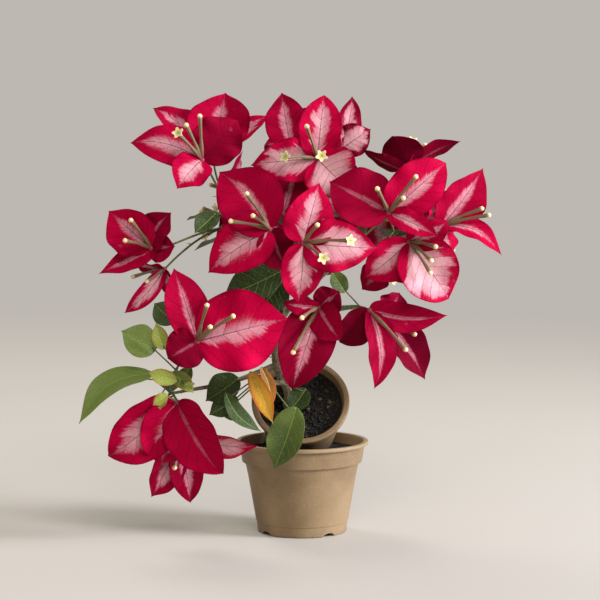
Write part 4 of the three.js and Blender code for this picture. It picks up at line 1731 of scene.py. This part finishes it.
@dataclass
class Limbs:
    """The trunk and the boughs, with the relief of their bark."""

    foot: Tuple[float, float] = (-7.0, -1.0)
    rise: float = 6.0
    places: Tuple[Place, ...] = ((-10, -13, 108), (-19, -28, 132), (-17, -24, 152), (-14, -20, 172))
    flare: float = 6.4
    base: float = 4.4
    tip: float = 2.6
    flare_share: float = 0.12
    bough: Tuple[float, float] = (2.0, 1.3)
    gap: float = 0.3
    trunk_rings: int = 150
    trunk_sides: int = 40
    trunk_bark: Tuple[int, float, int] = (2, 0.42, 9)
    trunk_thorns: Tuple[int, int] = (4, 5)
    bough_rings: int = 70
    bough_sides: int = 20
    bough_bark: Tuple[float, int] = (0.2, 6)
    bough_thorns: int = 3
    bough_seeds: Tuple[int, int] = (20, 40)
    boughs: Tuple[Tuple[str, float, Tuple[Place, ...]], ...] = (
        ("foot", 0.3, ((-22, -38, 117), (-27, -50, 122))),
        ("low_left", 0.5, ((-52, -40, 118), (-84, -50, 113))),
        ("front_low", 0.68, ((-2, -40, 166), (2, -44, 172))),
        ("upper_left", 0.86, ((-32, -26, 200), (-40, -30, 216))),
        ("right", 0.76, ((12, -20, 170), (32, -24, 172))),
        ("upper_right", 0.92, ((22, -16, 200), (54, -24, 216))),
        ("upper", 1.0, ((-8, -14, 200), (-2, -22, 226))),
        ("back_left", 0.8, ((-22, 14, 196), (-26, 34, 222))),
        ("back_right", 0.88, ((12, 16, 196), (38, 34, 214))),
        ("back", 0.96, ((-6, 12, 208), (2, 34, 242))),
    )

    def trunk_route(self, pots: Pots) -> Route:
        """The trunk's centre line, from the leaning pot's soil."""
        start = pots.leaned((*self.foot, pots.leaning.soil_level + self.gap))
        up = pots.leaned((0, 0, 1)) - pots.leaned((0, 0, 0))
        return Route.through([start, start + up * self.rise, *map(np.array, self.places)])

    def trunk_radii(self, rings: int) -> Array:
        """The trunk's radius at even shares of its length."""
        share = np.linspace(0, 1, rings)
        flared = np.clip(1 - share / self.flare_share, 0, None) ** 2
        return self.base + (self.tip - self.base) * share + (self.flare - self.base) * flared

    @staticmethod
    def bark(seed: int, depth: float, nodes: int) -> Relief:
        """Ridges along a limb and rings where leaves have dropped.

        Args:
            seed: where its draws start.
            depth: how deep the furrows are.
            nodes: how many rings it has.

        Returns:
            The relief as a function of the share along and the angles round.
        """
        draw = random.Random(seed)
        waves = [(n, draw.uniform(*ANY_PHASE), draw.uniform(-6, 6)) for n in (3, 5, 8, 11)]
        rings = [(draw.uniform(0.08, 0.96), draw.uniform(*ANY_PHASE)) for _ in range(nodes)]

        def relief(share: float, angles: Array) -> Array:
            """How far the bark stands out."""
            out = sum(np.cos(n * angles + p + twist * share) / (1 + 0.2 * k)
                      for k, (n, p, twist) in enumerate(waves)) * depth * 0.4
            out = out + 0.3 * depth * np.sin(share * 190 + 2 * np.cos(3 * angles))
            for place, turn in rings:
                near = math.exp(-(((share - place) / 0.008) ** 2))
                out = out + near * depth * (0.9 + 1.6 * np.clip(np.cos(angles - turn), 0, 1) ** 3)
            return out

        return relief

    @staticmethod
    def thorns(joined: Joined, route: Route, radius: float, seed: int, count: int) -> None:
        """Adds curved thorns along a limb.

        Args:
            joined: where they go.
            route: the limb's centre line.
            radius: the limb's radius.
            seed: where their draws start.
            count: how many there are.
        """
        draw = random.Random(seed)
        for _ in range(count):
            share = draw.uniform(0.15, 0.92)
            way = route.way(share)
            out = unit(np.cross(way, unit(np.array([draw.gauss(0, 1) for _ in range(3)]))))
            start = route.at(share) + out * radius * 0.6
            long = draw.uniform(3.5, 6.5)
            curve = Route.bend(start, out, start + out * long + way * long * 0.25, unit(out + way * 0.7))
            joined.add(tube(curve, np.linspace(*THORN_RADII, 7), 7), THORN)

    def build(self, pots: Pots, palette: Palette) -> Dict[str, Tuple[Array, Array]]:
        """Builds the limbs.

        Args:
            pots: where the trunk stands.
            palette: the materials.

        Returns:
            The end of each bough: its place and its way.
        """
        trunk = self.trunk_route(pots)
        joined = Joined()
        bark = self.bark(*self.trunk_bark)
        joined.add(tube(trunk, self.trunk_radii(self.trunk_rings), self.trunk_sides, bark))
        self.thorns(joined, trunk, self.base, *self.trunk_thorns)
        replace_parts(joined.piece("trunk_bark", Slot.BARK, [palette.bark, palette.thorn]), "trunk")
        ends = {}
        for number, (name, share, places) in enumerate(self.boughs):
            route = Route.through([trunk.at(share), *map(np.array, places)])
            joined = Joined()
            bark_seed, thorn_seed = (seed + number for seed in self.bough_seeds)
            radii = np.linspace(*self.bough, self.bough_rings)
            joined.add(tube(route, radii, self.bough_sides, self.bark(bark_seed, *self.bough_bark)))
            self.thorns(joined, route, self.bough[1], thorn_seed, self.bough_thorns)
            piece = joined.piece(f"bough_{name}_bark", Slot.BARK, [palette.bark, palette.thorn])
            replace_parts(piece, f"bough_{name}")
            ends[name] = (route.at(1.0), route.way(1.0))
        return ends


# ------------------------------------------------------------------ growing the masses


@dataclass(frozen=True)
class SprayRule:
    """The leaves by rule. A pair is a least value and how far a draw takes it."""

    along: Tuple[float, float] = (0.3, 0.5)
    turns: float = 100.0
    lifts: Tuple[float, float] = (10.0, -40.0)
    long: Tuple[float, float] = (28.0, 14.0)
    stalk: float = 6.0
    wide: float = 0.62
    faces: float = 60.0


@dataclass(frozen=True)
class ShootRule:
    """The finer side shoots. A pair is the least and the most of a draw, or a radius at each end."""

    shares: Tuple[float, ...] = (0.38, 0.62)
    turns: float = 75.0
    lifts: Tuple[float, float] = (-5.0, 35.0)
    follows: float = 0.6
    long: Tuple[float, float] = (9.0, 15.0)
    radii: Tuple[float, float] = (0.5, 0.3)
    rings: int = 8
    sides: int = 8
    seed_shift: int = 100
    behind: float = 0.0
    spread: Tuple[float, float] = (0.4, 0.9)
    rises: float = 0.3
    leaf: Tuple[float, float] = (9.0, 15.0)
    wide: float = 0.55
    faces: float = 55.0
    young: float = 0.45


@dataclass
class Grower:
    """Grows every mass by the same rule as the solids, and on to finer twigs."""

    palette: Palette
    spray_rule: SprayRule = SprayRule()
    shoot_rule: ShootRule = ShootRule()
    gap: float = 0.3
    stem: Tuple[float, float] = (1.2, 0.9)
    twig: Tuple[float, float] = (0.9, 0.7)
    stalk: Tuple[float, float] = (0.66, 0.48)
    knot: float = 2.1
    knot_share: float = 0.97
    knot_rings: int = 9
    forks: Tuple[float, float] = (0.25, 0.7)
    stops: int = 12
    sides: int = 12
    stem_rings: int = 14
    stem_bark: Tuple[float, int] = (0.1, 2)
    twig_rings: int = 36
    twig_bark: Tuple[float, int] = (0.09, 4)
    stalk_rings: int = 12
    stalk_sides: int = 10
    leaf_patterns: float = 9.0
    bract_patterns: float = 20.0

    def twigs(self, mass: Mass, place: Array, way: Array) -> Tuple[Route, List[Route]]:
        """The stem of a mass, and a twig to each of its heads."""
        start = place + way * self.gap
        stem = Route.line(start, start + way * mass.stem)
        count = len(mass.heads)
        first, apart = self.forks
        twigs = [
            Route.bend(stem.at(first + apart * (k + 1) / (count + 1)), way, h.place, h.axis)
            for k, h in enumerate(mass.heads)
        ]
        return stem, twigs

    def spray(self, mass: Mass, carried: List[Route]) -> List[Leaf]:
        """Leaves by rule, beside the twigs in turn and facing round to the back."""
        rule, draw = self.spray_rule, Draws(mass.seed)
        leaves = []
        for k in range(mass.spray):
            twig = carried[k % len(carried)]
            start = twig.at(rule.along[0] + rule.along[1] * draw())
            turn = REAR + rule.turns * (2 * draw() - 1)
            way = direction(turn, rule.lifts[0] + rule.lifts[1] * draw())
            long = rule.long[0] + rule.long[1] * draw()
            start = start + way * rule.stalk
            lightness = 0.2 + 0.6 * (k % 3) / 2
            leaves.append(Leaf(tuple(start), tuple(start + way * long), rule.wide * long, turn, rule.faces,
                               LeafKind.GREEN, lightness))
        return leaves

    def nearest(self, carried: List[Route], place: Array) -> Array:
        """The place on the twigs, past their first quarter, that is nearest to a place."""
        stops = np.arange(self.stops // 4, self.stops + 1) / self.stops
        points = np.concatenate([twig.at(stops) for twig in carried])
        return points[np.linalg.norm(points - place, axis=1).argmin()]

    def shoots(self, mass: Mass, twigs: List[Route], wood: Joined) -> List[Leaf]:
        """Finer side shoots on the twigs, each with young leaves at its end.

        Args:
            mass: the mass.
            twigs: its twigs.
            wood: where the shoots' tubes go.

        Returns:
            The shoots' leaves.
        """
        rule = self.shoot_rule
        draw = random.Random(mass.seed + rule.seed_shift)
        leaves = []
        for twig, share in product(twigs, rule.shares):
            turn = REAR + draw.uniform(-rule.turns, rule.turns)
            out = unit(direction(turn, draw.uniform(*rule.lifts)) + twig.way(share) * rule.follows)
            start = twig.at(share)
            end = start + out * draw.uniform(*rule.long)
            if end[1] < rule.behind:
                continue
            curve = Route.bend(start, twig.way(share), end, out)
            wood.add(tube(curve, np.linspace(*rule.radii, rule.rings), rule.sides))
            for sway in (-1, 1):
                beside = np.cross(out, UPWARDS) * sway * draw.uniform(*rule.spread)
                way = unit(out + beside + np.array([0, 0, draw.uniform(-rule.rises, rule.rises)]))
                size = draw.uniform(*rule.leaf)
                kind = LeafKind.YOUNG if draw.random() < rule.young else LeafKind.GREEN
                tip = tuple(end + way * size)
                leaves.append(Leaf(tuple(end), tip, rule.wide * size, turn, rule.faces, kind, draw.random()))
        return leaves

    def grow(self, mass: Mass, place: Array, way: Array) -> None:
        """Grows one mass in place of its solid.

        Args:
            mass: its sizes.
            place: its bough's end.
            way: the bough's direction there.
        """
        stem, twigs = self.twigs(mass, place, way)
        carried = twigs or [stem]
        draw = random.Random(mass.seed)
        wood = Joined()
        bark = Limbs.bark(mass.seed, *self.stem_bark)
        wood.add(tube(stem, np.linspace(*self.stem, self.stem_rings), self.sides, bark))
        for k, twig in enumerate(twigs):
            bark = Limbs.bark(mass.seed + k, *self.twig_bark)
            wood.add(tube(twig, np.linspace(*self.twig, self.twig_rings), self.sides, bark))
            Limbs.thorns(wood, twig, self.twig[1], mass.seed * 7 + k, 1)
        leaves = [*mass.leaves, *self.spray(mass, carried)]
        for leaf in leaves:
            root = np.array(leaf.start, float)
            held = root + (np.array(leaf.end, float) - root) * LEAF_FORM.held
            near = self.nearest(carried, root)
            curve = Route.bend(near, unit(held - near + np.array(UPWARDS)), held, unit(held - near))
            wood.add(tube(curve, np.linspace(*self.stalk, self.stalk_rings), self.stalk_sides))
        leaves += self.shoots(mass, twigs, wood)
        piece = wood.piece(f"{mass.name}_twigs", Slot.BARK, [self.palette.twig, self.palette.thorn])
        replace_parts(piece, f"mass_{mass.name}")
        if leaves:
            green = Joined()
            for leaf in leaves:
                shell, surface = LEAF_FORM.shell(leaf, draw)
                dealt = (leaf.lightness, draw.random() * self.leaf_patterns, 0.0)
                green.add(shell, leaf.kind.value, surface, dealt)
            materials = [self.palette.leaf, self.palette.young, self.palette.yellow]
            green.piece(f"{mass.name}_leaves", Slot.LEAVES, materials)
        for k, flower in enumerate(mass.heads):
            self.bracts(f"{mass.name}_bracts_{k}", flower, draw)
        if mass.heads:
            self.florets(f"{mass.name}_florets", mass.heads, draw)

    def bracts(self, name: str, flower: Head, draw: random.Random) -> None:
        """The bracts of one head, as one piece."""
        joined = Joined()
        for bract in flower.bracts:
            shell, surface = BRACT_FORM.shell(flower, bract, draw)
            pattern = draw.random() * self.bract_patterns
            # the third dealt number is the bract's painted shade
            dealt = np.tile([bract.pale, pattern, bract.deep], (len(surface), 1))
            dealt[len(surface) // 2 :, 2] -= LOWER_FACE
            joined.add(shell, 0, surface, dealt)
        joined.piece(name, Slot.BRACTS, [self.palette.bract])

    def florets(self, name: str, heads: Sequence[Head], draw: random.Random) -> None:
        """The florets and knots of a mass's heads, as one piece."""
        joined = Joined()
        materials = [self.palette.tube, self.palette.bud, self.palette.star]
        for flower in heads:
            knot = Route.line(flower.place - flower.axis * self.knot, flower.place + flower.axis * self.knot)
            share = np.linspace(-self.knot_share, self.knot_share, self.knot_rings)
            joined.add(tube(knot, self.knot * np.sqrt(1 - share**2), self.sides))
            for floret in flower.florets:
                shell, surface = FLORET_FORM.tube(flower, floret)
                joined.add(shell, FloretPart.TUBE.value, surface)
                if floret.star:
                    spin = draw.uniform(*FLORET_FORM.star_spins)
                    shell, surface = FLORET_FORM.star(flower, floret, spin)
                    joined.add(shell, FloretPart.STAR.value, surface)
                else:
                    shell, surface = FLORET_FORM.bud(flower, floret)
                    joined.add(shell, FloretPart.BUD.value, surface)
        joined.piece(name, Slot.BRACTS, materials)


# ------------------------------------------------------------------ studio


@dataclass
class Studio:
    """The pale floor, the soft lights and the camera."""

    eye: Place = (-1.6, -1600.0, 316.0)
    aim: Place = (-1.6, 0.0, 175.0)
    lens: float = 128.0
    sensor: float = 36.0
    wall: str = "bdb8b2"
    floor: str = "bab6ae"
    mottle: str = "a8a49b"
    fade: Tuple[float, float] = (0.5, 2.2)
    floor_radius: float = 12.0
    floor_sides: int = 96
    floor_level: float = -0.0004
    lamps: Tuple[Tuple[str, Place, float, float, str], ...] = (
        ("key", (2.3, -0.75, 1.15), 0.8, 100.0, "f4f5ff"),
        ("front", (0.4, -1.9, 1.7), 0.9, 26.0, "fff8f4"),
        ("rim", (-0.9, 1.5, 1.5), 0.8, 16.0, "fffaf2"),
        ("side", (1.9, 0.1, 0.2), 0.5, 24.0, "f2f5ff"),
    )

    def camera(self) -> None:
        """Adds the camera."""
        data = bpy.data.cameras.new("camera")
        data.lens, data.sensor_width = self.lens, self.sensor
        obj = bpy.data.objects.new("camera", data)
        bpy.context.scene.collection.objects.link(obj)
        eye, aim = Vector(self.eye) * MM, Vector(self.aim) * MM
        obj.location = eye
        obj.rotation_euler = (aim - eye).to_track_quat("-Z", "Y").to_euler()
        bpy.context.scene.camera = obj

    def light(self, name: str, place: Place, size: float, power: float, colour: str) -> None:
        """Adds a square soft light that looks at the plant.

        Args:
            name: its name.
            place: where it hangs, in metres.
            size: its side in metres.
            power: its power in watts.
            colour: its colour code.
        """
        data = bpy.data.lights.new(name, "AREA")
        data.size, data.energy, data.color = size, power, tint(colour)[:3]
        obj = bpy.data.objects.new(name, data)
        bpy.context.scene.collection.objects.link(obj)
        obj.location = place
        obj.rotation_euler = (Vector(self.aim) * MM - obj.location).to_track_quat("-Z", "Y").to_euler()

    def ground(self) -> None:
        """Adds the floor, which fades into the wall's colour far from the plant."""
        nothing_selected()
        bpy.ops.mesh.primitive_circle_add(vertices=self.floor_sides, radius=self.floor_radius,
                                          fill_type="NGON", location=(0, 0, self.floor_level))
        floor = bpy.context.object
        floor.name = "studio_floor"
        s = Shader("studio_floor")
        distance = s.node("ShaderNodeVectorMath", {"operation": "LENGTH"}, {0: s.objects}).outputs["Value"]
        fade = Number(s, distance).rise(*self.fade)
        colour = s.blend(s.noise(3.0, 2.0) * 0.3, tint(self.floor), tint(self.mottle))
        near = s.node("ShaderNodeBsdfPrincipled", None, {"Base Color": colour, "Roughness": 0.85})
        far = s.node("ShaderNodeEmission", None, {"Color": tint(self.wall), "Strength": 1.0})
        mixed = s.node("ShaderNodeMixShader", None, {0: fade, 1: near.outputs[0], 2: far.outputs[0]})
        s.node("ShaderNodeOutputMaterial", None, {"Surface": mixed.outputs[0]})
        floor.data.materials.append(s.material)

    def build(self) -> None:
        """Builds the studio."""
        scene = bpy.context.scene
        scene.view_settings.view_transform = "Standard"
        world = bpy.data.worlds.new("studio")
        world.use_nodes = True
        background = world.node_tree.nodes["Background"]
        background.inputs["Color"].default_value = tint(self.wall)
        background.inputs["Strength"].default_value = 1.0
        scene.world = world
        self.ground()
        for lamp in self.lamps:
            self.light(*lamp)
        self.camera()


# ------------------------------------------------------------------ the plant


def main() -> None:
    """Builds the studio and the plant in order."""
    logging.basicConfig(level=logging.INFO, format="%(message)s")
    Studio().build()
    palette = Palette()
    pots = Pots()
    pots.build(palette)
    ends = Limbs().build(pots, palette)
    grower = Grower(palette)
    for mass in MASSES:
        grower.grow(mass, *ends[mass.name])


if __name__ == "__main__":
    main()
